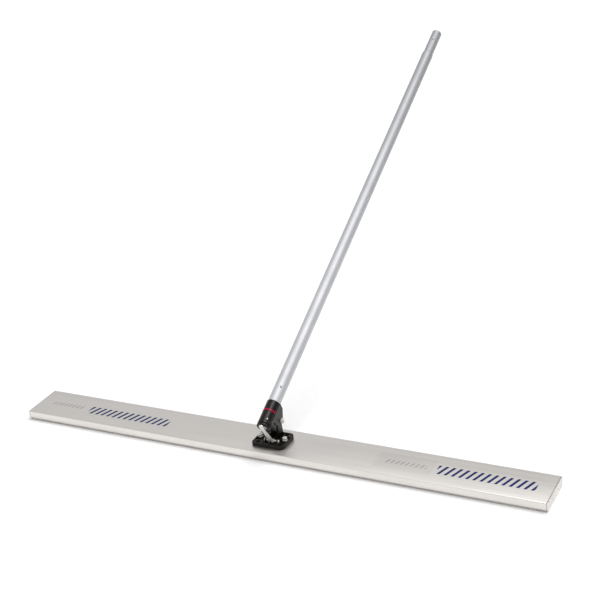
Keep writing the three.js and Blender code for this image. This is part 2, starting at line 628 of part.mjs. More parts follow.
function handleTube() {
  const { low, neck, high, radius, wall, neckRadius, taper } = TUBE;
  const profile = [[radius - wall, low], [radius, low], [radius, neck], [neckRadius, neck + taper],
    [neckRadius, high - 1], [neckRadius - 0.8, high], [neckRadius - wall, high],
    [neckRadius - wall, neck + taper], [radius - wall, neck]];
  let solid = toSolid(onAxis(turned(profile, FINE)));
  solid = solid.subtract(toSolid(radialHole(LOW_BUTTON, radius - 6, radius + 4)));
  solid = solid.subtract(toSolid(radialHole(HIGH_BUTTON, neckRadius - 6, neckRadius + 4)));
  return toGeometry(solid);
}
head.add(mesh('handle_tube', handleTube(), tubeMetal));

// A snap button: a round-nosed plunger with a flange that bears on the bore it springs out of.
function snapButton(button, boreRadius, outerRadius) {
  const { radius, proud, flange, flangeThickness } = BUTTON;
  const flangeTop = Math.sqrt(boreRadius ** 2 - flange ** 2) - 0.4;
  const flangeLow = flangeTop - flangeThickness;
  const nose = outerRadius + proud;
  const profile = [[0, flangeLow], [flange, flangeLow], [flange, flangeTop], [radius, flangeTop],
    [radius, nose - 1.6], [radius - 0.6, nose - 0.6], [radius - 2, nose], [0, nose]];
  return radial(turned(profile, 16), button.t, button.angle);
}

// The button's leaf spring: a hairpin of flat strip lying along the bore behind the flange.
function leafSpring(button, boreRadius, travel) {
  const { flange, flangeThickness } = BUTTON;
  const { width, strip, legLength, turn } = LEAF;
  const top = Math.sqrt(boreRadius ** 2 - flange ** 2) - 0.4 - flangeThickness - travel - GAP;
  const bottom = GAP - Math.sqrt(boreRadius ** 2 - (width / 2) ** 2);
  const middle = (top + bottom) / 2;
  const bow = (top - bottom) / 2;
  // The outline's X runs along the tube and its Y points out through the button.
  const shape = new THREE.Shape();
  shape.moveTo(-legLength, bottom);
  shape.lineTo(turn, bottom);
  shape.absarc(turn, middle, bow, -Math.PI / 2, Math.PI / 2, false);
  shape.lineTo(-legLength / 2, top);
  shape.lineTo(-legLength / 2, top - strip);
  shape.lineTo(turn, top - strip);
  shape.absarc(turn, middle, bow - strip, Math.PI / 2, -Math.PI / 2, true);
  shape.lineTo(-legLength, bottom + strip);
  const geometry = new THREE.ExtrudeGeometry(shape, { depth: width, bevelEnabled: false, curveSegments: 3 });
  geometry.translate(0, 0, -width / 2).applyMatrix4(ALONG_TUBE);
  return geometry.rotateZ(button.angle).translate(0, -AXIS_RISE, button.t);
}

const buttonTravel = BUTTON.proud + 0.4;
head.add(mesh('lower_button_spring', leafSpring(LOW_BUTTON, SPIGOT.bore, buttonTravel), brightSteel));
head.add(mesh('upper_button_spring',
  leafSpring(HIGH_BUTTON, TUBE.neckRadius - TUBE.wall, buttonTravel), brightSteel));
head.add(mesh('lower_snap_button', snapButton(LOW_BUTTON, SPIGOT.bore, TUBE.radius), brightSteel));
head.add(mesh('upper_snap_button',
  snapButton(HIGH_BUTTON, TUBE.neckRadius - TUBE.wall, TUBE.neckRadius), brightSteel));

// ---- link: a bent steel strap from the crank pin to the base lug ----------------------------------------
const along = new THREE.Vector2(Math.cos(LEAN), Math.sin(LEAN));
const up = new THREE.Vector2(-Math.sin(LEAN), Math.cos(LEAN));
const inWorld = (t, rise) => new THREE.Vector2(PIVOT.y, pivotZ)
  .addScaledVector(along, t).addScaledVector(up, AXIS_RISE + rise);

const strapMiddle = LINK_BACK - LINK.thickness / 2;
const aboveBlade = ([y, rise]) => new THREE.Vector2(y, BLADE.height + rise);

// The strap's side outline in Y and Z: a flat eye, a long run to the knee, and a steeper end over the pin.
function strapSide() {
  const half = LINK.thickness / 2;
  const line = [
    inWorld(strapMiddle, CRANK_RADIUS + LINK.eyeWidth / 2),
    inWorld(strapMiddle, CRANK_RADIUS - LINK_EYE_LENGTH),
    aboveBlade(LINK_KNEE),
    aboveBlade(LINK_END),
  ];
  const offsets = line.map((point, i) => {
    const run = line[Math.min(i + 1, line.length - 1)].clone().sub(line[Math.max(i - 1, 0)]).normalize();
    return new THREE.Vector2(-run.y, run.x).multiplyScalar(half);
  });
  const back = line.map((point, i) => point.clone().add(offsets[i]));
  const front = line.map((point, i) => point.clone().sub(offsets[i]));
  return new THREE.Shape([...back, ...front.reverse()]);
}

// The ear that joins the strap's fork to the pin: round about the pin, and flat where it meets the strap.
function knuckle() {
  const [endY, endRise] = LINK_END;
  const shape = new THREE.Shape();
  shape.moveTo(endY, BLADE.height + endRise);
  shape.absarc(LINK.y, linkZ, KNUCKLE_RADIUS, -Math.PI * 0.75, Math.PI / 2, false);
  shape.lineTo(LINK_KNEE[0] + 3, linkZ + KNUCKLE_RADIUS + 3);
  return side(shape, -LINK.forkWidth / 2, LINK.forkWidth / 2, 8);
}

// The strap's face outline, drawn flat: X across, and distance down from the crank pin as negative Y.
function strapFace(total) {
  const { eyeWidth, waist, forkWidth } = LINK;
  const shape = new THREE.Shape();
  shape.absarc(0, 0, eyeWidth / 2, 0, Math.PI, false);
  shape.lineTo(-eyeWidth / 2, -27);
  shape.lineTo(-waist / 2, -30);
  shape.lineTo(-waist / 2, -46);
  shape.lineTo(-forkWidth / 2, -58);
  shape.lineTo(-forkWidth / 2, -total);
  shape.lineTo(forkWidth / 2, -total);
  shape.lineTo(forkWidth / 2, -58);
  shape.lineTo(waist / 2, -46);
  shape.lineTo(waist / 2, -30);
  shape.lineTo(eyeWidth / 2, -27);
  return shape;
}

function linkStrap() {
  const crankPin = inWorld(strapMiddle, CRANK_RADIUS);
  const chord = new THREE.Vector2(LINK.y, linkZ).sub(crankPin);
  const widest = LINK.forkWidth / 2 + 1;
  // The face outline is swept square to the line from pin to pin, so every run of the strap takes its width.
  const upward = new THREE.Vector3(0, -chord.x, -chord.y).normalize();
  const across = new THREE.Vector3(1, 0, 0);
  const sweep = { depth: 60, bevelEnabled: false, curveSegments: 6 };
  const face = new THREE.ExtrudeGeometry(strapFace(chord.length() + 20), sweep);
  face.translate(0, 0, -sweep.depth / 2);
  face.applyMatrix4(new THREE.Matrix4().makeBasis(across, upward, across.clone().cross(upward)));
  face.translate(0, crankPin.x, crankPin.y);
  let solid = toSolid(side(strapSide(), -widest, widest)).intersect(toSolid(face));
  solid = solid.add(toSolid(knuckle()));
  const gapHalf = LINK.forkGap / 2;
  const gap = boxBetween([-gapHalf, LINK.y - 20, linkZ - 14], [gapHalf, LINK.y + 14, linkZ + 11]);
  solid = solid.subtract(toSolid(gap));
  solid = solid.subtract(toSolid(rodX(LINK_PIN.radius + GAP, -30, 30, linkPlace)));
  const hole = rodZ(CRANK_PIN.neck + GAP, -95, -60, { y: -AXIS_RISE - CRANK_RADIUS, segments: 16 });
  head.updateMatrixWorld(true);
  return toGeometry(solid.subtract(toSolid(hole.applyMatrix4(head.matrixWorld))));
}

const link = new THREE.Group();
part.add(link);
link.add(mesh('link_strap', linkStrap(), brightSteel));

// The crank pin: a rivet head in front of the strap and a spacer that ends clear of the crank disc.
function crankPin() {
  const { neck, spacer, head: headRadius, headHeight, clearance } = CRANK_PIN;
  const front = LINK_BACK - LINK.thickness;
  const tip = DISC.low - clearance;
  const shaft = turned([
    [0, front - headHeight], [headRadius - 1.5, front - headHeight], [headRadius, front - 1],
    [headRadius, front - GAP], [neck, front - GAP], [neck, LINK_BACK + GAP],
    [spacer, LINK_BACK + GAP], [spacer, tip], [0, tip],
  ], 20);
  return shaft.translate(0, -AXIS_RISE - CRANK_RADIUS, 0);
}
head.add(mesh('crank_pin', crankPin(), brightSteel));

export default part;
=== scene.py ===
"""The hand screed as it looks: fine meshes, procedural materials, a studio and a camera.

Pieces are drawn in millimetres, in one of two places: the blade's own frame, which is the row frame, or the
tilting head's frame, whose Z runs up the handle and whose Y points from the handle down to the pivot.
"""
import json
import math

import bmesh
import bpy
from mathutils import Matrix, Vector

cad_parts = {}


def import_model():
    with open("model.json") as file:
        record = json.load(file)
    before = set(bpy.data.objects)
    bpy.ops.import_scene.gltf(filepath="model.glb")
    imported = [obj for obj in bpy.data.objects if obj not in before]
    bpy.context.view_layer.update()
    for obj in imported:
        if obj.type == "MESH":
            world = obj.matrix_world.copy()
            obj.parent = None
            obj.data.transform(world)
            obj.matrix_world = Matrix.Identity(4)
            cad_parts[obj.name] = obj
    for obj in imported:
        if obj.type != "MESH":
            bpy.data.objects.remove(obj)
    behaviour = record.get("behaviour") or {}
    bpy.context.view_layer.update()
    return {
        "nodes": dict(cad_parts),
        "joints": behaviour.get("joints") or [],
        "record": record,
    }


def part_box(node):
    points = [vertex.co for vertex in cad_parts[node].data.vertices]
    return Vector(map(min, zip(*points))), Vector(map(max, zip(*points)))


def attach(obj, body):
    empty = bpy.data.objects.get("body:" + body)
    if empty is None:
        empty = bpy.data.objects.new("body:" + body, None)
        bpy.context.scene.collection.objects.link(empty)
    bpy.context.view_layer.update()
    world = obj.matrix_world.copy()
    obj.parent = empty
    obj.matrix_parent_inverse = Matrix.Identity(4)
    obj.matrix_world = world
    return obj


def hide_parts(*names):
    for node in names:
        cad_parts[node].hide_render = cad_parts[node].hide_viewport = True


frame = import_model()
MM = 0.001
TURN = 2 * math.pi

# ---- the frame's own places, in millimetres -------------------------------------------------------------
JOINTS = {joint["name"]: joint for joint in frame["joints"]}
HANDLE_POINT = Vector(JOINTS["twist"]["pos_m"]) / MM
HANDLE_AXIS = Vector(JOINTS["twist"]["axis"]).normalized()
PIVOT = Vector(JOINTS["tilt"]["pos_m"]) / MM
LINK_PIN = Vector(JOINTS["link_swing"]["pos_m"]) / MM


def node_box(name):
    """A CAD node's lowest and highest corners, in millimetres."""
    low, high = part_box(name)
    return low / MM, high / MM


_, BLADE_HIGH = node_box("blade_profile")
_, CAP_HIGH = node_box("end_cap_right")
BLADE_TOP = BLADE_HIGH.z
# Pieces that touch keep this gap.
GAP = 0.3
DECK = BLADE_TOP + GAP
AXIS_DROP = (PIVOT - HANDLE_POINT).length


def head_matrix():
    """From the head's frame to the row frame, both in millimetres."""
    across = Vector((1, 0, 0))
    down = HANDLE_AXIS.cross(across)
    basis = Matrix((across, down, HANDLE_AXIS)).transposed().to_4x4()
    return Matrix.Translation(HANDLE_POINT) @ basis


HEAD = head_matrix()
ROW = Matrix.Identity(4)
# Turns an outline drawn in X and Y and raised along Z into one drawn in Y and Z and raised along X.
SIDEWAYS = Matrix(((0, 0, 1, 0), (1, 0, 0, 0), (0, 1, 0, 0), (0, 0, 0, 1)))
# Stands a turned piece, drawn on Z, on X instead.
ON_X = Matrix.Rotation(math.pi / 2, 4, "Y")
PIVOT_X = Matrix.Translation((0, PIVOT.y, PIVOT.z)) @ ON_X
PIN_X = Matrix.Translation((0, LINK_PIN.y, LINK_PIN.z)) @ ON_X


# ---- mesh tools -----------------------------------------------------------------------------------------
def object_from(bm, name):
    mesh = bpy.data.meshes.new(name)
    bm.to_mesh(mesh)
    bm.free()
    obj = bpy.data.objects.new(name, mesh)
    bpy.context.scene.collection.objects.link(obj)
    return obj


def evaluated(obj):
    """Replaces obj's mesh with the result of its modifiers."""
    bpy.context.view_layer.update()
    graph = bpy.context.evaluated_depsgraph_get()
    mesh = bpy.data.meshes.new_from_object(obj.evaluated_get(graph))
    obj.modifiers.clear()
    obj.data = mesh
    return obj


def discard(obj):
    bpy.data.objects.remove(obj, do_unlink=True)


def arc(cx, cy, radius, start, end, steps=8):
    """Points of an arc between two angles in degrees, both ends included."""
    angles = [math.radians(start + (end - start) * i / steps) for i in range(steps + 1)]
    return [(cx + radius * math.cos(a), cy + radius * math.sin(a)) for a in angles]


def rounded_box(width, height, radius, cx=0.0, cy=0.0, steps=8):
    x, y = width / 2 - radius, height / 2 - radius
    corners = [(x, -y, -90), (x, y, 0), (-x, y, 90), (-x, -y, 180)]
    return [p for px, py, a in corners for p in arc(cx + px, cy + py, radius, a, a + 90, steps)]


def circle(radius, cx, cy, steps=48):
    return arc(cx, cy, radius, 0, 360 - 360 / steps, steps - 1)


def bend_point(start, corner, end, u):
    """A point at u, from 0 to 1, of the curve that rounds a corner between two points on its sides."""
    return start * (1 - u) ** 2 + corner * 2 * u * (1 - u) + end * u ** 2


def smooth_step(u):
    u = max(0.0, min(1.0, u))
    return u * u * (3 - 2 * u)


def prism(name, outlines, z0, z1, edge=0.0, edge_steps=2, matrix=ROW):
    """A flat shape, the first outline with the others as holes, raised from z0 to z1, with rounded edges."""
    curve = bpy.data.curves.new(name, "CURVE")
    curve.dimensions = "2D"
    curve.fill_mode = "BOTH"
    curve.extrude = (z1 - z0) / 2 - edge
    curve.bevel_depth = edge
    curve.bevel_resolution = edge_steps
    curve.offset = -edge
    for points in outlines:
        spline = curve.splines.new("POLY")
        spline.points.add(len(points) - 1)
        for point, (x, y) in zip(spline.points, points):
            point.co = (x, y, 0, 1)
        spline.use_cyclic_u = True
    holder = bpy.data.objects.new(name, curve)
    bpy.context.scene.collection.objects.link(holder)
    bpy.context.view_layer.update()
    graph = bpy.context.evaluated_depsgraph_get()
    mesh = bpy.data.meshes.new_from_object(holder.evaluated_get(graph))
    discard(holder)
    bm = bmesh.new()
    bm.from_mesh(mesh)
    bmesh.ops.remove_doubles(bm, verts=bm.verts, dist=1e-4)
    bmesh.ops.recalc_face_normals(bm, faces=bm.faces)
    bmesh.ops.transform(bm, verts=bm.verts, matrix=matrix @ Matrix.Translation((0, 0, (z0 + z1) / 2)))
    bpy.data.meshes.remove(mesh)
    return object_from(bm, name)


def turned(name, profile, steps=64, matrix=ROW, radius_at=None, sweep=(0.0, 360.0)):
    """A closed profile of (radius, z) turned about Z. radius_at(r, z, angle) may change a point's radius."""
    full = abs(sweep[1] - sweep[0]) >= 360
    count = steps if full else steps + 1
    bm = bmesh.new()
    rings = []
    for i in range(count):
        angle = math.radians(sweep[0] + (sweep[1] - sweep[0]) * i / steps)
        ring = []
        for r, z in profile:
            radius = radius_at(r, z, angle) if radius_at else r
            ring.append(bm.verts.new((radius * math.cos(angle), radius * math.sin(angle), z)))
        rings.append(ring)
    size = len(profile)
    for i in range(steps):
        a, b = rings[i], rings[(i + 1) % count]
        for j in range(size):
            k = (j + 1) % size
            if profile[j][0] < 1e-6 and profile[k][0] < 1e-6:
                continue
            bm.faces.new((a[j], b[j], b[k], a[k]))
    if not full:
        bm.faces.new(rings[0])
        bm.faces.new(list(reversed(rings[-1])))
    bmesh.ops.remove_doubles(bm, verts=bm.verts, dist=1e-5)
    bmesh.ops.dissolve_degenerate(bm, edges=bm.edges, dist=1e-6)
    bmesh.ops.recalc_face_normals(bm, faces=bm.faces)
    bmesh.ops.transform(bm, verts=bm.verts, matrix=matrix)
    return object_from(bm, name)


def rod(name, radius, z0, z1, edge=0.0, steps=48, matrix=ROW):
    """A round bar along Z whose two rims are rounded by edge."""
    if edge <= 0:
        return turned(name, [(0, z0), (radius, z0), (radius, z1), (0, z1)], steps, matrix)
    low = arc(radius - edge, z0 + edge, edge, -90, 0, 4)
    high = arc(radius - edge, z1 - edge, edge, 0, 90, 4)
    return turned(name, [(0, z0), *low, *high, (0, z1)], steps, matrix)


def boolean(obj, tools, operation):
    for tool in tools:
        modifier = obj.modifiers.new("shape", "BOOLEAN")
        modifier.operation = operation
        modifier.solver = "MANIFOLD"
        modifier.object = tool
        evaluated(obj)
        discard(tool)
    return obj


def cut(obj, *tools):
    return boolean(obj, tools, "DIFFERENCE")


def join(obj, *others):
    return boolean(obj, others, "UNION")


def melt(obj, voxel, smoothing, steps=4):
    """Turns a rough union into one cast skin whose corners and joints are softly rounded."""
    remesh = obj.modifiers.new("skin", "REMESH")
    remesh.mode = "VOXEL"
    remesh.voxel_size = voxel
    soften = obj.modifiers.new("soften", "SMOOTH")
    soften.factor = smoothing
    soften.iterations = steps
    return evaluated(obj)


def heap(obj, *others):
    """Puts other meshes into obj's mesh as they are, for melt() to fuse."""
    bm = bmesh.new()
    for piece in (obj, *others):
        bm.from_mesh(piece.data)
    for piece in others:
        discard(piece)
    bm.to_mesh(obj.data)
    bm.free()
    return obj


# Angles in degrees past which an edge shades as a sharp one, where it isn't the usual 35.
MELTED_CREASE, TUBE_CREASE = 50, 25


def piece(obj, name, body, slot, replaces, place=ROW, crease=35.0):
    """Takes a mesh drawn in millimetres to its place in metres, shades it and ties it to the frame."""
    obj.name = name
    obj.data.name = name
    obj.data.transform(Matrix.Scale(MM, 4) @ place)
    for polygon in obj.data.polygons:
        polygon.use_smooth = True
    obj.data.set_sharp_from_angle(angle=math.radians(crease))
    obj.data.materials.clear()
    obj.data.materials.append(SLOT_MATERIALS[slot])
    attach(obj, body)
    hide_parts(replaces)
    return obj


# ---- materials ------------------------------------------------------------------------------------------
class Nodes:
    """A small helper for writing a material's nodes."""

    def __init__(self, name, color, metallic, roughness, **sockets):
        self.material = bpy.data.materials.new(name)
        self.material.use_nodes = True
        self.tree = self.material.node_tree
        self.tree.nodes.clear()
        self.output = self.add("ShaderNodeOutputMaterial")
        self.shader = self.add("ShaderNodeBsdfPrincipled")
        self.link(self.shader.outputs[0], self.output.inputs[0])
        settings = {"Base_Color": (*color, 1), "Metallic": metallic, "Roughness": roughness, **sockets}
        for key, value in settings.items():
            self.shader.inputs[key.replace("_", " ")].default_value = value
        self.place = self.add("ShaderNodeTexCoord").outputs["Object"]

    def add(self, kind, **settings):
        node = self.tree.nodes.new(kind)
        for key, value in settings.items():
            setattr(node, key, value)
        return node

    def link(self, source, target):
        self.tree.links.new(source, target)

    def stretched(self, scale, turn=(0, 0, 0)):
        """Object coordinates, turned and then scaled, so that a pattern can run long in one direction."""
        mapping = self.add("ShaderNodeMapping", vector_type="POINT")
        mapping.inputs["Scale"].default_value = scale
        if any(turn):
            first = self.add("ShaderNodeMapping", vector_type="POINT")
            first.inputs["Rotation"].default_value = turn
            self.link(self.place, first.inputs["Vector"])
            self.link(first.outputs[0], mapping.inputs["Vector"])
        else:
            self.link(self.place, mapping.inputs["Vector"])
        return mapping.outputs[0]

    def noise(self, scale, detail=3.0, roughness=0.55, vector=None):
        node = self.add("ShaderNodeTexNoise")
        node.inputs["Scale"].default_value = scale
        node.inputs["Detail"].default_value = detail
        node.inputs["Roughness"].default_value = roughness
        self.link(vector or self.place, node.inputs["Vector"])
        return node.outputs["Fac"]

    def cells(self, scale):
        node = self.add("ShaderNodeTexVoronoi")
        node.inputs["Scale"].default_value = scale
        self.link(self.place, node.inputs["Vector"])
        return node.outputs["Distance"]

    def ramp(self, value, low, high, out_low=0.0, out_high=1.0):
        node = self.add("ShaderNodeMapRange")
        for key, number in (("From Min", low), ("From Max", high), ("To Min", out_low), ("To Max", out_high)):
            node.inputs[key].default_value = number
        self.link(value, node.inputs["Value"])
        return node.outputs[0]

    def math(self, operation, a, b=None, c=None):
        node = self.add("ShaderNodeMath", operation=operation)
        for socket, value in zip(node.inputs, (a, b, c)):
            if value is None:
                continue
            if isinstance(value, (int, float)):
                socket.default_value = value
            else:
                self.link(value, socket)
        return node.outputs[0]

    def mix(self, factor, a, b):
        """Mixes two colours, each a socket or a tuple of three numbers."""
        node = self.add("ShaderNodeMix", data_type="RGBA")
        self.link(factor, node.inputs["Factor"])
        for socket, value in ((node.inputs[6], a), (node.inputs[7], b)):
            if isinstance(value, tuple):
                socket.default_value = (*value, 1)
            else:
                self.link(value, socket)
        return node.outputs[2]

    def bumps(self, *layers):
        """Chains bumps, each a (height, distance in metres, strength)."""
        normal = None
        for height, distance, strength in layers:
            node = self.add("ShaderNodeBump")
            node.inputs["Distance"].default_value = distance
            node.inputs["Strength"].default_value = strength
            self.link(height, node.inputs["Height"])
            if normal is not None:
                self.link(normal, node.inputs["Normal"])
            normal = node.outputs[0]
        self.link(normal, self.shader.inputs["Normal"])

    def color(self, socket):
        self.link(socket, self.shader.inputs["Base Color"])

    def rough(self, socket):
        self.link(socket, self.shader.inputs["Roughness"])


def dim(color, factor):
    return tuple(min(1.0, channel * factor) for channel in color)


def inside(nodes, x0, x1, y0, y1, soft):
    """A mask that is 1 in a rectangle of the blade's top, given in metres, and fades over soft at its rim."""
    split = nodes.add("ShaderNodeSeparateXYZ")
    nodes.link(nodes.place, split.inputs[0])
    mask = None
    for axis, low, high in ((0, x0, x1), (1, y0, y1)):
        value = split.outputs[axis]
        for edge, direction in ((low, 1), (high, -1)):
            step = nodes.ramp(value, edge - direction * soft, edge + direction * soft)
            mask = step if mask is None else nodes.math("MULTIPLY", mask, step)
    return mask


def slanted_bars(nodes, pitch):
    """A mask of evenly spaced bars that lean along the blade."""
    split = nodes.add("ShaderNodeSeparateXYZ")
    nodes.link(nodes.place, split.inputs[0])
    across = nodes.math("MULTIPLY_ADD", split.outputs[1], -BAR_LEAN, split.outputs[0])
    phase = nodes.math("FRACT", nodes.math("DIVIDE", across, pitch))
    middle = nodes.math("ABSOLUTE", nodes.math("SUBTRACT", phase, 0.5))
    return nodes.ramp(middle, BAR_FILL / 2 + BAR_SOFT, BAR_FILL / 2 - BAR_SOFT)


def blade_aluminium():
    """Mill-finish extrusion: long die lines, faint handling marks and plain slanted bars at each end."""
    nodes = Nodes("blade_aluminium", BLADE_TINT, 1.0, 0.4)
    fine = nodes.noise(1.0, 2.0, 0.6, nodes.stretched((1.2, 900, 900)))
    broad = nodes.noise(1.0, 2.0, 0.5, nodes.stretched((0.5, 70, 70)))
    marks = nodes.noise(5.0, 4.0, 0.6, nodes.stretched((0.6, 2.2, 2.2)))
    scuff = nodes.noise(1.0, 1.0, 0.5, nodes.stretched((14, 420, 420), (0, 0, 0.32)))
    scuff_mask = nodes.ramp(scuff, 0.74, 0.80)
    line = nodes.math("ADD", nodes.math("MULTIPLY", fine, 0.6), nodes.math("MULTIPLY", broad, 0.4))
    tone = nodes.mix(nodes.ramp(line, 0.3, 0.7), dim(BLADE_TINT, 0.965), dim(BLADE_TINT, 1.02))
    tone = nodes.mix(nodes.ramp(marks, 0.35, 0.75, 0, 0.5), tone, dim(BLADE_TINT, 0.93))
    rough = nodes.ramp(line, 0.25, 0.75, 0.33, 0.47)
    rough = nodes.math("ADD", rough, nodes.ramp(marks, 0.35, 0.75, -0.03, 0.05))
    rough = nodes.math("SUBTRACT", rough, nodes.math("MULTIPLY", scuff_mask, 0.08))
    wear = nodes.ramp(nodes.noise(300, 3.0), 0.2, 0.3, 0.8, 1)
    ink = nodes.math("MULTIPLY", slanted_bars(nodes, BAR_PITCH), wear)
    for x0, x1, y0, y1 in PRINTS:
        mask = nodes.math("MULTIPLY", inside(nodes, x0, x1, y0, y1, PRINT_EDGE), ink)
        tone = nodes.mix(mask, tone, PRINT_INK)
        rough = nodes.math("ADD", rough, nodes.math("MULTIPLY", mask, 0.1))
    for x0, x1, y0, y1 in LABELS:
        block = inside(nodes, x0, x1, y0, y1, LABEL_EDGE)
        mask = nodes.math("MULTIPLY", block, slanted_bars(nodes, LABEL_PITCH))
        tone = nodes.mix(nodes.math("MULTIPLY", mask, LABEL_STRENGTH), tone, LABEL_TINT)
    patch = inside(nodes, *LABEL_PATCH, PATCH_EDGE)
    tone = nodes.mix(nodes.math("MULTIPLY", patch, PATCH_STRENGTH), tone, LABEL_TINT)
    nodes.color(tone)
    nodes.rough(rough)
    nodes.bumps((line, 0.00004, 0.35), (scuff_mask, 0.00003, 0.3))
    return nodes.material


def tube_aluminium():
    """Drawn tube: lines along the handle, faint marks, and painted shade that darkens the colour towards the
    top, standing in for the highlight that fades up the handle.
    """
    nodes = Nodes("tube_aluminium", TUBE_TINT, 1.0, 0.3)
    lean = math.atan2(HANDLE_AXIS.z, HANDLE_AXIS.y)
    lines = nodes.noise(1.0, 2.0, 0.6, nodes.stretched((700, 1.5, 700), (-lean, 0, 0)))
    marks = nodes.noise(9.0, 4.0, 0.65)
    tone = nodes.mix(nodes.ramp(marks, 0.35, 0.8), TUBE_TINT, dim(TUBE_TINT, 0.92))
    split = nodes.add("ShaderNodeSeparateXYZ")
    nodes.link(nodes.place, split.inputs[0])
    # Painted shade: the colour darkens with height up the handle.
    nodes.color(nodes.mix(nodes.ramp(split.outputs[2], *PAINTED_SHADE_HEIGHTS), tone, dim(TUBE_TINT, 0.66)))
    rough = nodes.ramp(lines, 0.25, 0.75, 0.62, 0.72)
    nodes.rough(nodes.math("ADD", rough, nodes.ramp(marks, 0.4, 0.8, 0, 0.05)))
    nodes.bumps((lines, 0.00003, 0.3))
    return nodes.material


def black_casting():
    """Gloss black powder coat over a sand-cast skin."""
    nodes = Nodes("black_casting", CAST_TINT, 0.0, 0.3, Specular_IOR_Level=0.28)
    peel = nodes.noise(700, 2.0, 0.5)
    grain = nodes.noise(2600, 3.0, 0.6)
    pits = nodes.cells(420)
    blotch = nodes.noise(45, 3.0, 0.6)
    nodes.color(nodes.mix(nodes.ramp(blotch, 0.3, 0.75), CAST_TINT, CAST_WARM))
    rough = nodes.ramp(grain, 0.3, 0.7, 0.23, 0.31)
    nodes.rough(nodes.math("ADD", rough, nodes.ramp(blotch, 0.3, 0.8, 0, 0.07)))
    nodes.bumps((peel, 0.0003, 0.28), (nodes.ramp(pits, 0.0, 0.2), 0.0001, 0.15), (grain, 0.00006, 0.3))
    return nodes.material


def zinc_steel():
    """Bright zinc plate: a soft crystal mottle, fine brushing and a faint yellow and blue cast."""
    nodes = Nodes("zinc_steel", STEEL_TINT, 0.45, 0.4)
    mottle = nodes.cells(260)
    cast = nodes.noise(60, 3.0, 0.6)
    brush = nodes.noise(1.0, 2.0, 0.6, nodes.stretched((1500, 90, 90)))
    tone = nodes.mix(nodes.ramp(cast, 0.35, 0.7), STEEL_TINT, STEEL_WARM)
    nodes.color(nodes.mix(nodes.ramp(mottle, 0.0, 0.8, 0, 0.35), tone, dim(STEEL_TINT, 0.86)))
    rough = nodes.ramp(brush, 0.3, 0.7, 0.36, 0.46)
    nodes.rough(nodes.math("ADD", rough, nodes.ramp(mottle, 0, 0.8, 0, 0.08)))
    nodes.bumps((brush, 0.00002, 0.3), (mottle, 0.00003, 0.2))
    return nodes.material


def button_metal():
    nodes = Nodes("button_metal", (0.36, 0.36, 0.37), 1.0, 0.35)
    wear = nodes.noise(900, 3.0)
    nodes.color(nodes.mix(nodes.ramp(wear, 0.3, 0.7), (0.30, 0.30, 0.31), (0.46, 0.46, 0.46)))
    nodes.rough(nodes.ramp(wear, 0.3, 0.7, 0.28, 0.45))
    nodes.bumps((wear, 0.00003, 0.3))
    return nodes.material


def red_trim():
    """Glossy moulded crimson with a faint swirl in the colour."""
    nodes = Nodes("red_trim", (0.28, 0.003, 0.025), 0.0, 0.25, Specular_IOR_Level=0.22)
    swirl = nodes.noise(180, 3.0)
    fine = nodes.noise(2400, 2.0)
    nodes.color(nodes.mix(nodes.ramp(swirl, 0.3, 0.7), (0.25, 0.002, 0.020), (0.32, 0.003, 0.030)))
    nodes.rough(nodes.ramp(fine, 0.3, 0.7, 0.20, 0.30))
    nodes.bumps((fine, 0.00003, 0.25))
    return nodes.material


def bronze_bush():
    """Oiled sintered bronze with open pores."""
    nodes = Nodes("bronze_bush", (0.50, 0.33, 0.14), 1.0, 0.4)
    pores = nodes.ramp(nodes.cells(1800), 0.0, 0.25)
    stain = nodes.noise(140, 3.0)
    tone = nodes.mix(nodes.ramp(stain, 0.3, 0.7), (0.44, 0.28, 0.12), (0.58, 0.39, 0.18))
    nodes.color(nodes.mix(pores, (0.16, 0.10, 0.05), tone))
    nodes.rough(nodes.ramp(stain, 0.3, 0.7, 0.32, 0.5))
    nodes.bumps((pores, 0.00008, 0.4))
    return nodes.material


def brake_polymer():
    nodes = Nodes("brake_polymer", (0.045, 0.045, 0.05), 0.0, 0.6)
    grain = nodes.noise(1600, 4.0)
    nodes.color(nodes.mix(nodes.ramp(grain, 0.3, 0.7), (0.03, 0.03, 0.034), (0.065, 0.065, 0.07)))
    nodes.rough(nodes.ramp(grain, 0.3, 0.7, 0.5, 0.7))
    nodes.bumps((grain, 0.0001, 0.3))
    return nodes.material


BLADE_TINT = (0.775, 0.75, 0.72)
TUBE_TINT = (0.64, 0.645, 0.665)
# The heights, in metres, between which the tube's colour darkens: painted shade for the highlight that fades
# up the handle.
PAINTED_SHADE_HEIGHTS = (0.45, 1.10)
CAST_TINT = (0.0040, 0.0036, 0.0026)
CAST_WARM = (0.0080, 0.0068, 0.0050)
STEEL_TINT = (0.80, 0.79, 0.77)
STEEL_WARM = (0.82, 0.77, 0.68)
PRINT_INK = (0.020, 0.035, 0.15)
LABEL_TINT = (0.38, 0.37, 0.365)
# Printed blocks of slanted bars in the blade's frame, in metres, each as low and high X and low and high Y.
PRINTS = ((-0.774, -0.430, -0.030, 0.018), (0.603, 0.943, -0.028, 0.024))
# A bar's fill and soft edge are shares of the pitch, and its lean is X for each Y.
BAR_PITCH, BAR_FILL, BAR_SOFT, BAR_LEAN = 0.0245, 0.42, 0.02, 0.35
# Fainter grey bars, and the plain patch round the right-hand ones.
LABEL_PITCH = 0.0175
LABELS = ((-0.945, -0.802, -0.012, 0.010), (0.422, 0.568, -0.012, 0.010))
LABEL_PATCH = (0.385, 0.590, -0.050, 0.048)
PRINT_EDGE, LABEL_EDGE, PATCH_EDGE = 0.0006, 0.0005, 0.002
LABEL_STRENGTH, PATCH_STRENGTH = 0.65, 0.14

SLOT_MATERIALS = {
    "blade_aluminium": blade_aluminium(),
    "tube_aluminium": tube_aluminium(),
    "black_casting": black_casting(),
    "zinc_steel": zinc_steel(),
    "button_metal": button_metal(),
    "red_trim": red_trim(),
    "bronze_bush": bronze_bush(),
    "brake_polymer": brake_polymer(),
}

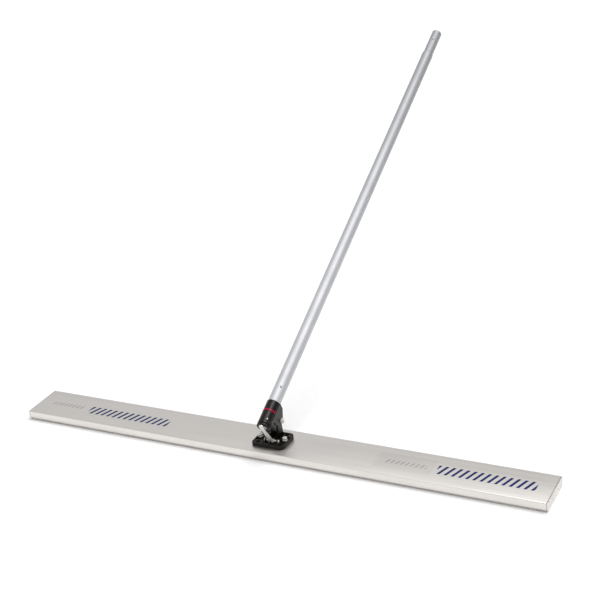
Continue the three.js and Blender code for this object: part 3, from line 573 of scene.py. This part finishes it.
# ---- blade and end caps ---------------------------------------------------------------------------------
TOP_RADIUS = 2.5
SOLE_RADIUS = 12.0
WALL = 2.0
RIB_Y = 31.0


def blade_section(inset=0.0, steps=10):
    """The blade's outer section in Y and Z, drawn in by inset."""
    half, top = BLADE_HIGH.y - inset, BLADE_HIGH.z - inset
    low, big, small = inset, SOLE_RADIUS - inset, max(TOP_RADIUS - inset, 0.4)
    return [
        *arc(half - big, low + big, big, -90, 0, steps),
        *arc(half - small, top - small, small, 0, 90, 4),
        *arc(-half + small, top - small, small, 90, 180, 4),
        *arc(-half + big, low + big, big, 180, 270, steps),
    ]


def chamber(y0, y1):
    """One hollow chamber of the profile. The outer two follow the sole's rounded edge."""
    low, high = WALL, BLADE_TOP - WALL
    left = SOLE_RADIUS - WALL if y0 < -RIB_Y else 1.0
    right = SOLE_RADIUS - WALL if y1 > RIB_Y else 1.0
    return [
        *arc(y1 - right, low + right, right, -90, 0, 6),
        *arc(y1 - 1, high - 1, 1, 0, 90, 3),
        *arc(y0 + 1, high - 1, 1, 90, 180, 3),
        *arc(y0 + left, low + left, left, 180, 270, 6),
    ]


def blade_skin():
    inner = BLADE_HIGH.y - WALL
    rib = WALL / 2
    holes = [chamber(-inner, -RIB_Y - rib), chamber(-RIB_Y + rib, RIB_Y - rib), chamber(RIB_Y + rib, inner)]
    end = BLADE_HIGH.x - 0.5
    obj = prism("blade", [blade_section(), *holes], -end, end, 0.35, 2, SIDEWAYS)
    return piece(obj, "blade_skin", "blade", "blade_aluminium", "blade_profile")


def end_cap(label, sign):
    outer, inner = CAP_HIGH.x, BLADE_HIGH.x + 0.4
    span = sorted((sign * outer, sign * inner))
    obj = prism("cap", [blade_section()], span[0], span[1], 0.6, 3, SIDEWAYS)
    recesses = []
    for y in (-RIB_Y, RIB_Y):
        middle = Vector((sign * outer, y, BLADE_TOP / 2))
        recesses.append(rod("recess", 4.5, -1.6, 3, 0, 40, Matrix.Translation(middle) @ ON_X @ flip(sign)))
    cut(obj, *recesses)
    return piece(obj, f"cap_{label}", "blade", "blade_aluminium", f"end_cap_{label}")


def flip(sign):
    """Turns a piece drawn on +Z to point the other way when sign is negative."""
    return Matrix.Identity(4) if sign > 0 else Matrix.Rotation(math.pi, 4, "X")


blade_skin()
for side_label, side_sign in (("left", -1), ("right", 1)):
    end_cap(side_label, side_sign)

# ---- the sizes that the base, the head and their fasteners share ---------------------------------------
CHEEK_OUTER = 25.3
WASHER_THICK = 1.8
WASHER_OUT = CHEEK_OUTER + GAP + WASHER_THICK
# The pivot bolt's radius, the radius of what it passes through, its hexagons and its sleeve.
BOLT_RADIUS, BOLT_CLEAR, PIVOT_HEX, SLEEVE_HALF = 5.0, 5.3, 16.0, 7.7
BOLT_END, THREAD_PITCH, THREAD_DEPTH, THREAD_STEP = 36.5, 1.5, 0.75, 0.25
# The strap's pin: its radius, its hole's radius, its head's radius, and how far its head and its tail reach.
PIN_RADIUS, PIN_CLEAR, PIN_HEAD, PIN_SEAT, PIN_END = 3.5, 3.8, 5.5, 24.8, 29.0

# ---- tilt base ------------------------------------------------------------------------------------------
BASE_LOW, BASE_HIGH = node_box("tilt_base")
# Corner radii and slot centres run front left, front right, rear right, rear left.
BASE_CORNERS = (8.0, 22.0, 16.0, 16.0)
RIM_HEIGHT, RIM_WALL, FLOOR = 16.0, 5.0, 6.0
PAD_SIZE, PAD_HEIGHT = (38.0, 25.0), 14.0
SLOT_SIZE = (17.0, 11.0)
SLOT_CENTRES = ((-42.5, -40.5), (42.5, -40.5), (34.0, 29.0), (-42.5, 29.0))
BOLT_PLACES = {"left": -53.0, "right": 42.5}
BOLT_Y = -2.0
BOSS_RADIUS, BOSS_HEIGHT, BOLT_HOLE, SPOT_FACE = 12.0, 11.0, 5.4, 11.0
ARM_INNER, ARM_OUTER, ARM_EYE = 8.0, 16.0, 13.5
# Raised shapes start here, inside the floor, so that melt() makes one skin of them.
ROOT = DECK + 1
FORK_GAP = 5.6
LUG_SPANS = ((-2.3, 2.3), (-24.5, -19.5), (19.5, 24.5))


def softened(points, radius, steps=5):
    """A closed outline of straight runs with each corner rounded by up to radius."""
    result = []
    count = len(points)
    for i, corner in enumerate(points):
        here = Vector(corner)
        back, ahead = Vector(points[i - 1]) - here, Vector(points[(i + 1) % count]) - here
        reach = min(radius, back.length * 0.45, ahead.length * 0.45)
        start, end = here + back.normalized() * reach, here + ahead.normalized() * reach
        result += [tuple(bend_point(start, here, end, k / steps)) for k in range(steps + 1)]
    return result


def tray_outline(inset=0.0):
    """The tray's plan outline, drawn in by inset all round."""
    x0, x1 = BASE_LOW.x + inset, BASE_HIGH.x - inset
    y0, y1 = BASE_LOW.y + inset, BASE_HIGH.y - inset
    a, b, c, d = (radius - inset for radius in BASE_CORNERS)
    return [*arc(x0 + a, y0 + a, a, 180, 270), *arc(x1 - b, y0 + b, b, 270, 360),
            *arc(x1 - c, y1 - c, c, 0, 90), *arc(x0 + d, y1 - d, d, 90, 180)]


def pad_outline(slot_x, slot_y):
    """A corner pad, flush with the tray's edges beside its slot."""
    width, depth = PAD_SIZE
    x = BASE_LOW.x + width / 2 if slot_x < 0 else BASE_HIGH.x - width / 2
    y = BASE_LOW.y + depth / 2 if slot_y < 0 else BASE_HIGH.y - depth / 2
    return rounded_box(width, depth, 6, x, y)


def slot_outline(x, y):
    width, height = SLOT_SIZE
    return rounded_box(width, height, height / 2 - 0.01, x, y)


def arm_outline():
    eye = arc(PIVOT.y, PIVOT.z, ARM_EYE, -6, 186, 24)
    return [(PIVOT.y - 10, ROOT), (PIVOT.y + 22, ROOT), (PIVOT.y + 21, DECK + 16), *eye,
            (PIVOT.y - 14, DECK + 28)]


def lug_outline():
    eye = arc(LINK_PIN.y, LINK_PIN.z, 6.5, 0, 180, 16)
    return [(LINK_PIN.y - 10, ROOT), (LINK_PIN.y + 10, ROOT), *eye]


def within_tray(obj):
    """Trims a raised shape to the tray's outline."""
    return boolean(obj, [prism("limit", [tray_outline()], DECK, DECK + RIM_HEIGHT)], "INTERSECT")


def tilt_base():
    outline = tray_outline()
    slots = [slot_outline(*centre) for centre in SLOT_CENTRES]
    holes = [circle(BOLT_HOLE, x, BOLT_Y) for x in BOLT_PLACES.values()]
    rough = [prism("floor", [outline, *slots, *holes], DECK, DECK + FLOOR)]
    rough.append(prism("rim", [outline, tray_outline(RIM_WALL)], DECK, DECK + RIM_HEIGHT, 1.2, 3))
    for centre, slot in zip(SLOT_CENTRES, slots):
        rough.append(within_tray(prism("pad", [pad_outline(*centre), slot], ROOT, DECK + PAD_HEIGHT, 0.8)))
    for x in BOLT_PLACES.values():
        ring = [circle(BOSS_RADIUS, x, BOLT_Y), circle(BOLT_HOLE, x, BOLT_Y)]
        rough.append(within_tray(prism("boss", ring, ROOT, DECK + BOSS_HEIGHT, 0.6)))
    for x0 in (-ARM_OUTER, ARM_INNER):
        rough.append(prism("arm", [arm_outline()], x0, x0 + ARM_OUTER - ARM_INNER, 1.2, 3, SIDEWAYS))
    for x0, x1 in LUG_SPANS:
        rough.append(prism("lug", [lug_outline()], x0, x1, 0.6, 2, SIDEWAYS))
    skin = melt(heap(*rough), 0.75, 0.5, 5)
    faces = [
        rod("face", SPOT_FACE, DECK + BOSS_HEIGHT, DECK + 30, 0, 64, Matrix.Translation((x, BOLT_Y, 0)))
        for x in BOLT_PLACES.values()
    ]
    pin_way = rod("way", PIN_CLEAR, -40, 40, 0, 32, PIN_X)
    bolt_way = rod("way", BOLT_CLEAR, -40, 40, 0, 32, PIVOT_X)
    cut(skin, pin_way, bolt_way, *faces)
    return piece(skin, "tilt_base_casting", "blade", "black_casting", "tilt_base", crease=MELTED_CREASE)


tilt_base()


# ---- fasteners ------------------------------------------------------------------------------------------
def hexagon(across_flats):
    return arc(0, 0, across_flats / math.sqrt(3), 30, 330, 5)


def knurled(count, depth, z0, z1, inner):
    """Straight flutes between z0 and z1 on the outside of a turned piece."""
    def radius(r, z, angle):
        if r < inner or not z0 <= z <= z1:
            return r
        return r - depth * (0.5 + 0.5 * math.cos(count * angle))
    return radius


def threaded(pitch, depth, z0, z1):
    """A helical thread between z0 and z1, for a profile with several points to a turn of the thread."""
    def radius(r, z, angle):
        if r < 1 or not z0 < z < z1:
            return r
        phase = (z / pitch - angle / TURN) % 1
        return r - depth * abs(2 * phase - 1)
    return radius


def socket_screw(name, seat, x, node):
    """A flanged cap screw with a fluted head and a hexagon socket, standing on its seat."""
    head, collar, washer, height = 8.0, 9.1, 1.6, 9.0
    top = seat + washer + height
    side = [(head, z) for z in (seat + washer + 0.4, seat + washer + 0.8, top - 2.0, top - 1.6)]
    profile = [(0, seat - 20), (5, seat - 20), (5, seat), (collar - 0.3, seat), (collar, seat + 0.3),
               (collar, seat + washer - 0.3), (collar - 0.4, seat + washer), (head - 0.3, seat + washer),
               *side, *arc(head - 0.9, top - 0.9, 0.9, 0, 90, 4), (0, top)]
    flutes = knurled(36, 0.35, seat + washer + 0.6, top - 1.8, head - 0.05)
    screw = turned("screw", profile, 144, radius_at=flutes)
    cut(screw, prism("socket", [hexagon(7.2)], top - 5, top + 2))
    place = Matrix.Translation((x, BOLT_Y, 0))
    return piece(screw, name, "blade", "zinc_steel", node, place)


for side_label, x in BOLT_PLACES.items():
    socket_screw(f"base_screw_{side_label}", DECK + BOSS_HEIGHT + GAP, x, f"base_bolt_{side_label}")


def hex_body(across_flats, z0, z1, both=True):
    """A hexagon between z0 and z1 whose corners are turned off at the outer face, or at both."""
    body = prism("hex", [hexagon(across_flats)], z0, z1)
    corner, flat = across_flats / math.sqrt(3) + 0.1, across_flats / 2 - 0.2
    drop = (corner - flat) * math.tan(math.radians(30))
    low = [(0, z0), (flat, z0), (corner, z0 + drop)] if both else [(0, z0 - 1), (corner, z0 - 1)]
    cone = turned("cone", [*low, (corner, z1 - drop), (flat, z1), (0, z1)], 72)
    return boolean(body, [cone], "INTERSECT")


def washer(name, inner, outer, z0, z1, place, node, edge=0.3):
    profile = [(inner, z0), (outer - edge, z0), (outer, z0 + edge),
               (outer, z1 - edge), (outer - edge, z1), (inner, z1)]
    return piece(turned(name, profile, 64), name, "blade", "zinc_steel", node, place)


def pivot_bolt():
    seat, lead, chamfer = WASHER_OUT + GAP, 4, 0.8
    count = int((BOLT_END - chamfer - seat - lead) / THREAD_STEP)
    threads = [(BOLT_RADIUS, seat + lead + THREAD_STEP * i) for i in range(count)]
    profile = [(0, -seat - 0.2), (BOLT_RADIUS, -seat - 0.2), *threads, (BOLT_RADIUS, BOLT_END - chamfer),
               (BOLT_RADIUS - chamfer, BOLT_END), (0, BOLT_END)]
    thread = threaded(THREAD_PITCH, THREAD_DEPTH, seat + 3, BOLT_END - 0.7)
    shank = turned("shank", profile, 48, radius_at=thread)
    head = hex_body(PIVOT_HEX, -seat - 6.5, -seat)
    join(head, shank)
    return piece(head, "pivot_bolt_fine", "blade", "zinc_steel", "pivot_bolt", PIVOT_X)


def pivot_nut():
    z0 = WASHER_OUT + GAP
    nut = hex_body(PIVOT_HEX, z0, z0 + 4.6, both=False)
    join(nut, rod("collar", 6.6, z0 + 3.6, z0 + 6, 0.9, 64))
    cut(nut, rod("bore", BOLT_CLEAR, z0 - 1, z0 + 9, 0, 48))
    return piece(nut, "pivot_lock_nut", "blade", "zinc_steel", "pivot_nut", PIVOT_X)


pivot_bolt()
pivot_nut()
for side_label, z0 in (("left", -WASHER_OUT), ("right", WASHER_OUT - WASHER_THICK)):
    washer(f"washer_{side_label}", BOLT_CLEAR, 10, z0, z0 + WASHER_THICK, PIVOT_X,
           f"pivot_washer_{side_label}")
washer("sleeve", BOLT_CLEAR, 8.5, -SLEEVE_HALF, SLEEVE_HALF, PIVOT_X, "pivot_sleeve", 0.5)


def link_pin():
    round_off, height, chamfer = 0.8, 2.6, 0.6
    rim = arc(PIN_HEAD - round_off, -PIN_SEAT - height + round_off, round_off, -90, 0, 4)
    profile = [(0, -PIN_SEAT - height), *rim, (PIN_HEAD, -PIN_SEAT), (PIN_RADIUS, -PIN_SEAT),
               (PIN_RADIUS, PIN_END - chamfer), (PIN_RADIUS - chamfer, PIN_END), (0, PIN_END)]
    return piece(turned("pin", profile, 48), "link_pin_fine", "blade", "zinc_steel", "link_pin", PIN_X)


def cap_screw(label, sign, where, y):
    """A small domed screw, set into the end cap and running into the profile's port."""
    outer = CAP_HIGH.x
    top, seat = outer - 0.1, outer - 1.3
    profile = [(0, seat - 16), (1.4, seat - 16), (2, seat - 15.2), (2, seat), (4.2, seat), (4.2, top - 0.6),
               *arc(3.2, top - 0.9, 0.9, 10, 90, 4), (0, top)]
    screw = turned("cap_screw", profile, 48)
    cut(screw, prism("socket", [hexagon(3.6)], top - 0.8, top + 1))
    side = ON_X if sign > 0 else Matrix.Rotation(-math.pi / 2, 4, "Y")
    place = Matrix.Translation((0, y, BLADE_TOP / 2)) @ side
    name = f"cap_screw_{label}_{where}"
    return piece(screw, f"{name}_fine", "blade", "zinc_steel", name, place)


for side_label, side_sign in (("left", -1), ("right", 1)):
    for row_label, row_y in (("front", -RIB_Y), ("rear", RIB_Y)):
        cap_screw(side_label, side_sign, row_label, row_y)

link_pin()
washer("link_pin_collar", PIN_CLEAR, PIN_HEAD, PIN_SEAT, PIN_SEAT + 2.8, PIN_X, "link_pin_nut", 0.5)

# ---- tilting head ---------------------------------------------------------------------------------------
BARREL = 24.3
BARREL_LOW, BARREL_HIGH = -64.0, 31.2
CHEEK_INNER = 17.6
BRAKE_Y, BRAKE_Z, BRAKE_RADIUS, BRAKE_FACE = -2.0, -55.0, 12.3, 27.0
# The band's low and high edges, its inner radius, and half of its sweep in degrees.
BAND_LOW, BAND_HIGH, BAND_INNER, BAND_HALF = -13.5, -6.0, 22.4, 79.0
DISC_LOW, DISC_HIGH = -71.8, -66.4
TUBE_LOW = 20.0
GRUB_Z, GRUB_ANGLE = -46.0, math.radians(32)


def radial(z, angle):
    """Stands a piece drawn on Z on the handle's side, z up the handle and angle round from the top."""
    around = Matrix.Rotation(angle, 4, "Z")
    return Matrix.Translation((0, 0, z)) @ around @ Matrix.Rotation(math.pi / 2, 4, "X")


def cheek_outline():
    body = softened([(-5, -50), (4, -50), (15, -37), (36, -35), (46, -27)], 5)[3:-3]
    eye = arc(AXIS_DROP, 0, 12.5, -63, 40, 16)
    top = softened([(46, 14), (29, BARREL_HIGH + 2.5), (-5, BARREL_HIGH + 2.5), (-5, 0)], 5)[6:-6]
    return [*body, *eye, *top]


def head_housing():
    rim_low = arc(BARREL - 3, BARREL_LOW + 3, 3, -90, 0, 6)
    rim_high = arc(BARREL - 1, BARREL_HIGH - 1, 1, 0, 90, 4)
    rough = [turned("barrel", [(0, BARREL_LOW), *rim_low, *rim_high, (0, BARREL_HIGH)], 96)]
    for x0 in (-CHEEK_OUTER, CHEEK_INNER):
        rough.append(prism("cheek", [cheek_outline()], x0, x0 + CHEEK_OUTER - CHEEK_INNER, 1.2, 3, SIDEWAYS))
    web = rounded_box(10, 54, 2, 20, -3)
    rough.append(prism("web", [web], -CHEEK_INNER - 1, CHEEK_INNER + 1, 0.5, 2, SIDEWAYS))
    brake = Matrix.Translation((0, BRAKE_Y, BRAKE_Z)) @ ON_X
    rough.append(rod("boss", BRAKE_RADIUS, 10, BRAKE_FACE, 1.2, 64, brake))
    skin = melt(heap(*rough), 0.7, 0.5, 5)
    pivot = Matrix.Translation((0, AXIS_DROP, 0)) @ ON_X
    floor, low, high = BAND_INNER - GAP, BAND_LOW - GAP, BAND_HIGH + GAP
    groove = [(floor, low), (30, low), (30, high), (floor, high)]
    sweep = (-90 - BAND_HALF - 1, -90 + BAND_HALF + 1)
    mouth = [(0, TUBE_LOW - 0.8), (23.1, TUBE_LOW - 0.8), (23.1, BARREL_HIGH - 0.6), (24, BARREL_HIGH + 0.3),
             (24, BARREL_HIGH + 20), (0, BARREL_HIGH + 20)]
    wide, narrow, below = 19.3, 17, BARREL_LOW - 0.02
    lower_seat, upper_seat = BARREL_LOW + 20.6, -1.4
    bore = [(0, BARREL_LOW - 20), (25, BARREL_LOW - 20), (25, below), (wide, below),
            (wide, lower_seat), (narrow, lower_seat), (narrow, upper_seat), (wide, upper_seat),
            (wide, TUBE_LOW), (0, TUBE_LOW)]
    cut(skin,
        rod("way", 8.0, -40, 40, 0, 64, pivot),
        turned("groove", groove, 96, sweep=sweep),
        turned("mouth", mouth, 96),
        turned("bore", bore, 96),
        rod("brake_bore", 9.8, 20.5, 40, 0, 64, brake),
        rod("shoe_way", 6.3, 10, 30, 0, 40, brake),
        rod("grub_way", 2.9, 20.9, 34, 0, 32, radial(GRUB_Z, GRUB_ANGLE)))
    return piece(skin, "head_casting", "housing", "black_casting", "head_housing", HEAD, MELTED_CREASE)


def red_band():
    outer, edge = 24.9, 0.7
    profile = [(BAND_INNER, BAND_LOW), *arc(outer - edge, BAND_LOW + edge, edge, -90, 0, 4),
               *arc(outer - edge, BAND_HIGH - edge, edge, 0, 90, 4), (BAND_INNER, BAND_HIGH)]
    band = turned("band", profile, 80, sweep=(-90 - BAND_HALF, -90 + BAND_HALF))
    return piece(band, "band", "housing", "red_trim", "red_band", HEAD)


def grub_screw():
    low, high = 21.2, 25.0
    screw = rod("grub", 2.6, low, high, 0.35, 40)
    cut(screw, prism("socket", [hexagon(2.5)], high - 1.6, high + 1))
    place = HEAD @ radial(GRUB_Z, GRUB_ANGLE)
    return piece(screw, "grub_screw", "housing", "zinc_steel", "bush_set_screw", place)


def brake_cap():
    top = BRAKE_FACE + 1.2
    cap = rod("cap", 9.5, 20.8, top, 0.8, 64)
    cut(cap, prism("slot", [rounded_box(1.8, 13, 0.4)], top - 1.4, top + 1))
    place = HEAD @ Matrix.Translation((0, BRAKE_Y, BRAKE_Z)) @ ON_X
    return piece(cap, "brake_cap", "housing", "black_casting", "friction_cap", place)


def crank_disc():
    bore, recess, shelf = 9.3, 12.3, DISC_LOW + 2.6
    profile = [(bore, DISC_HIGH), (bore, shelf), (recess, shelf), (recess, DISC_LOW),
               *arc(BARREL - 2, DISC_LOW + 2, 2, -90, 0, 6),
               *arc(BARREL - 0.7, DISC_HIGH - 0.7, 0.7, 0, 90, 4)]
    return piece(turned("disc", profile, 96), "disc", "handle", "black_casting", "crank_disc", HEAD)


def crank_screw():
    top, bottom = DISC_LOW + 2.3, DISC_LOW + 0.1
    shank, tip = 4, -46
    profile = [(0, bottom + 1.2), (3.2, bottom + 1.2), (3.4, bottom), (11.4, bottom), (12, bottom + 0.5),
               (12, top), (shank, top), (shank, tip), (0, tip)]
    return piece(turned("screw", profile, 64), "disc_screw", "handle", "zinc_steel", "crank_screw", HEAD)


head_housing()
red_band()
grub_screw()
brake_cap()
crank_disc()
crank_screw()

# ---- handle tube and snap buttons -----------------------------------------------------------------------
TUBE_RADIUS, TUBE_WALL = 22.5, 1.8
NECK_RADIUS, NECK_START, TAPER, TUBE_HIGH = 20.0, 1825.0, 9.0, 1960.0
# The rounded top edge is fuller than the CAD chamfer, so the tube stops this much short of TUBE_HIGH.
END_SHORT = 0.35
BUTTON_HOLE, BUTTON_RADIUS, BUTTON_PROUD = 4.3, 3.9, 3.6
# For each button: its height, its angle round the tube, and the bore and outer radius of the tube there.
BUTTONS = {
    "lower": (91.0, math.radians(28), 14.0, TUBE_RADIUS),
    "upper": (1906.0, math.radians(15), NECK_RADIUS - TUBE_WALL, NECK_RADIUS),
}


def swage(outer, inner, steps=12):
    """The tube's step down to its neck, as a smooth S."""
    shares = [i / steps for i in range(steps + 1)]
    return [(outer + (inner - outer) * smooth_step(u), NECK_START + TAPER * u) for u in shares]


def handle_tube():
    wall, edge, chamfer = TUBE_WALL, 0.9, 0.5
    top = TUBE_HIGH - END_SHORT
    outer = [(TUBE_RADIUS - chamfer, TUBE_LOW), (TUBE_RADIUS, TUBE_LOW + chamfer),
             *swage(TUBE_RADIUS, NECK_RADIUS), *arc(NECK_RADIUS - edge, top - edge, edge, 0, 90, 4)]
    inner = [(NECK_RADIUS - wall, top), *reversed(swage(TUBE_RADIUS - wall, NECK_RADIUS - wall)),
             (TUBE_RADIUS - wall, TUBE_LOW)]
    tube = turned("tube", [*outer, *inner], 128)
    for z, angle, _, radius in BUTTONS.values():
        cut(tube, rod("hole", BUTTON_HOLE, radius - 8, radius + 4, 0, 48, radial(z, angle)))
    return piece(tube, "tube", "handle", "tube_aluminium", "handle_tube", HEAD, TUBE_CREASE)


def snap_button(label):
    z, angle, bore, outer = BUTTONS[label]
    flange, thickness = 6.0, 1.4
    shelf = math.sqrt(bore ** 2 - flange ** 2) - 0.4
    nose = outer + BUTTON_PROUD
    dome = arc(BUTTON_RADIUS - 2.2, nose - 2.2, 2.2, 0, 90, 8)
    profile = [(0, shelf - thickness), (flange, shelf - thickness), (flange, shelf), (BUTTON_RADIUS, shelf),
               *dome, (0, nose)]
    button = turned("button", profile, 48)
    return piece(button, f"button_{label}", f"{label}_button", "button_metal", f"{label}_snap_button",
                 HEAD @ radial(z, angle))


handle_tube()
for button_label in BUTTONS:
    snap_button(button_label)

# ---- link strap -----------------------------------------------------------------------------------------
CRANK_RADIUS = 13.0
# How far the crank pin stops short of the disc.
PIN_SHORT = 1.7
STRAP_BACK, STRAP_THICK = -74.9, 5.0
# The strap's centre line below its flat eye, in Y and height above the blade.
STRAP_EYE_LENGTH = 13.0
STRAP_KNEE, STRAP_END = (-33.0, 28.0), (-26.5, 9.5)
KNUCKLE_RADIUS = 6.2
EYE_HALF, WAIST_HALF, FORK_HALF = 8.5, 7.0, 8.5


def strap_half_width(run):
    """Half the strap's width at a distance along it from the top of its eye."""
    if run < EYE_HALF:
        return math.sqrt(max(EYE_HALF ** 2 - (EYE_HALF - run) ** 2, 0.04))
    waist = smooth_step((run - 34) / 7)
    fork = smooth_step((run - 54) / 13)
    return EYE_HALF + (WAIST_HALF - EYE_HALF) * waist + (FORK_HALF - WAIST_HALF) * fork


def strap_path():
    """The strap's centre line in the row frame's Y and Z, from its eye, round the bends, to the fork."""
    up = HANDLE_AXIS.cross(Vector((-1, 0, 0)))
    middle = HANDLE_POINT + HANDLE_AXIS * (STRAP_BACK - STRAP_THICK / 2)
    eye = middle + up * (CRANK_RADIUS + EYE_HALF)
    bend = middle + up * (CRANK_RADIUS - STRAP_EYE_LENGTH)
    knee, end = (Vector((0, y, BLADE_TOP + rise)) for y, rise in (STRAP_KNEE, STRAP_END))
    line = [eye]
    for before, corner, after, turn in ((eye, bend, knee, 7.0), (bend, knee, end, 8.0)):
        start = corner + (before - corner).normalized() * turn
        stop = corner + (after - corner).normalized() * turn
        line += [line[-1].lerp(start, i / 20) for i in range(1, 20)]
        line += [bend_point(start, corner, stop, i / 10) for i in range(11)]
    line += [line[-1].lerp(end, i / 12) for i in range(1, 13)]
    return line


def knuckle_outline():
    """The ear that joins the fork to the pin: round about the pin, and flat where it meets the strap."""
    (end_y, end_rise), (knee_y, _) = STRAP_END, STRAP_KNEE
    return [(end_y, BLADE_TOP + end_rise), *arc(LINK_PIN.y, LINK_PIN.z, KNUCKLE_RADIUS, -135, 90, 24),
            (knee_y + 3, LINK_PIN.z + KNUCKLE_RADIUS + 3)]


def link_strap():
    path = strap_path()
    bm = bmesh.new()
    rings, run = [], 0.0
    for i, point in enumerate(path):
        ahead, behind = path[min(i + 1, len(path) - 1)], path[max(i - 1, 0)]
        run += (point - path[i - 1]).length if i else 0.0
        along = (ahead - behind).normalized()
        normal = along.cross(Vector((1, 0, 0)))
        section = rounded_box(2 * max(strap_half_width(run), 1.2), STRAP_THICK, 0.9, steps=4)
        rings.append([bm.verts.new(point + Vector((x, 0, 0)) + normal * y) for x, y in section])
    size = len(rings[0])
    for a, b in zip(rings, rings[1:]):
        for j in range(size):
            bm.faces.new((a[j], b[j], b[(j + 1) % size], a[(j + 1) % size]))
    bm.faces.new(rings[0])
    bm.faces.new(list(reversed(rings[-1])))
    bmesh.ops.recalc_face_normals(bm, faces=bm.faces)
    strap = object_from(bm, "strap")
    knuckle = prism("knuckle", [knuckle_outline()], -FORK_HALF, FORK_HALF, 0.6, 2, SIDEWAYS)
    melt(heap(strap, knuckle), 0.42, 0.5, 4)
    gap = rounded_box(34, 25, 3, LINK_PIN.y - 3, LINK_PIN.z - 1.5)
    eye = Matrix.Translation((0, -CRANK_RADIUS, 0))
    cut(strap,
        prism("gap", [gap], -FORK_GAP / 2, FORK_GAP / 2, 0, 0, SIDEWAYS),
        rod("way", PIN_CLEAR, -30, 30, 0, 40, PIN_X),
        rod("eye", 4.3, -95, -60, 0, 40, HEAD @ eye))
    return piece(strap, "strap", "link", "zinc_steel", "link_strap", ROW, MELTED_CREASE)


def crank_pin():
    front = STRAP_BACK - STRAP_THICK
    dome = arc(0, front + 5.6, 9.2, -90, -49, 8)
    neck, spacer, tip = 4, 6.5, DISC_LOW - PIN_SHORT
    profile = [*[(r, z + 1.4) for r, z in dome], (6.4, front - GAP), (neck, front - GAP),
               (neck, STRAP_BACK + GAP), (spacer, STRAP_BACK + GAP), (spacer, tip), (0, tip)]
    place = HEAD @ Matrix.Translation((0, -CRANK_RADIUS, 0))
    return piece(turned("rivet", profile, 48), "rivet", "link", "zinc_steel", "crank_pin", place)


link_strap()
crank_pin()

# ---- CAD nodes: a slot and a finish for each, as the inside ones are shown as they are -------------------
for row in frame["record"]["subparts"]:
    node = frame["nodes"][row["node"]]
    node.data.materials.clear()
    node.data.materials.append(SLOT_MATERIALS[row["material_slot"]])

# ---- studio ---------------------------------------------------------------------------------------------
CAMERA_PLACE = Vector((1.9990, -3.4766, 2.3336))
CAMERA_YAW = math.radians(-27.997)
CAMERA_PITCH = math.radians(23.846)
CAMERA_ROLL = math.radians(5.240)
LENS = 78.93


def camera():
    data = bpy.data.cameras.new("camera")
    data.sensor_width = 36.0
    data.lens = LENS
    data.clip_start = 0.05
    data.clip_end = 60.0
    obj = bpy.data.objects.new("camera", data)
    flat = math.cos(CAMERA_PITCH)
    forward = Vector((math.sin(CAMERA_YAW) * flat, math.cos(CAMERA_YAW) * flat, -math.sin(CAMERA_PITCH)))
    level = Vector((math.cos(CAMERA_YAW), -math.sin(CAMERA_YAW), 0))
    down = forward.cross(level)
    turn_cos, turn_sin = math.cos(CAMERA_ROLL), math.sin(CAMERA_ROLL)
    right = level * turn_cos + down * turn_sin
    lower = down * turn_cos - level * turn_sin
    basis = Matrix((right, -lower, -forward)).transposed().to_4x4()
    obj.matrix_world = Matrix.Translation(CAMERA_PLACE) @ basis
    bpy.context.scene.collection.objects.link(obj)
    bpy.context.scene.camera = obj


def studio_floor():
    bm = bmesh.new()
    bmesh.ops.create_grid(bm, x_segments=8, y_segments=8, size=40)
    obj = object_from(bm, "floor")
    obj.location.z = -0.0005
    nodes = Nodes("floor_paper", (0.93, 0.93, 0.93), 0.0, 0.9, Specular_IOR_Level=0.1)
    grain = nodes.noise(30, 3.0)
    nodes.color(nodes.mix(nodes.ramp(grain, 0.3, 0.7), (0.92, 0.92, 0.92), (0.94, 0.94, 0.94)))
    obj.data.materials.append(nodes.material)


def sun(direction, angle, strength):
    """A broad overhead light: direction points from the object to it, and angle is its width in degrees."""
    data = bpy.data.lights.new("overhead", "SUN")
    data.angle = math.radians(angle)
    data.energy = strength
    obj = bpy.data.objects.new("overhead", data)
    obj.rotation_mode = "QUATERNION"
    obj.rotation_quaternion = Vector(direction).to_track_quat("Z", "Y")
    bpy.context.scene.collection.objects.link(obj)


def compass(azimuth, elevation):
    """A direction from its azimuth, clockwise from +Y, and its elevation, both in degrees."""
    turn_angle, rise = math.radians(azimuth), math.radians(elevation)
    return (math.sin(turn_angle) * math.cos(rise), math.cos(turn_angle) * math.cos(rise), math.sin(rise))


def world(level, lobes):
    """An even surround with soft brighter and darker patches, each a direction, sharpness and strength."""
    made = bpy.data.worlds.new("studio")
    bpy.context.scene.world = made
    made.use_nodes = True
    tree = made.node_tree
    direction = tree.nodes.new("ShaderNodeTexCoord").outputs["Generated"]

    def combine(operation, a, b):
        node = tree.nodes.new("ShaderNodeMath")
        node.operation = operation
        for socket, value in zip(node.inputs, (a, b)):
            if isinstance(value, (int, float)):
                socket.default_value = value
            else:
                tree.links.new(value, socket)
        return node.outputs[0]

    total = level
    for toward, sharpness, strength in lobes:
        dot = tree.nodes.new("ShaderNodeVectorMath")
        dot.operation = "DOT_PRODUCT"
        tree.links.new(direction, dot.inputs[0])
        dot.inputs[1].default_value = toward
        patch = combine("POWER", combine("MAXIMUM", dot.outputs["Value"], 0.0), sharpness)
        total = combine("ADD", combine("MULTIPLY", patch, strength), total)
    background = tree.nodes["Background"]
    background.inputs[0].default_value = (1, 1, 1, 1)
    tree.links.new(total, background.inputs[1])


LOBES = (
    (compass(-26, 27), 10, 0.05),
    (compass(38, 12), 4, -0.56),
    (compass(-118, 10), 4, 0.05),
)

camera()
studio_floor()
world(0.63, LOBES)
sun((0.22, 0.22, 0.95), 38, 2.0)
bpy.context.scene.view_settings.view_transform = "Standard"
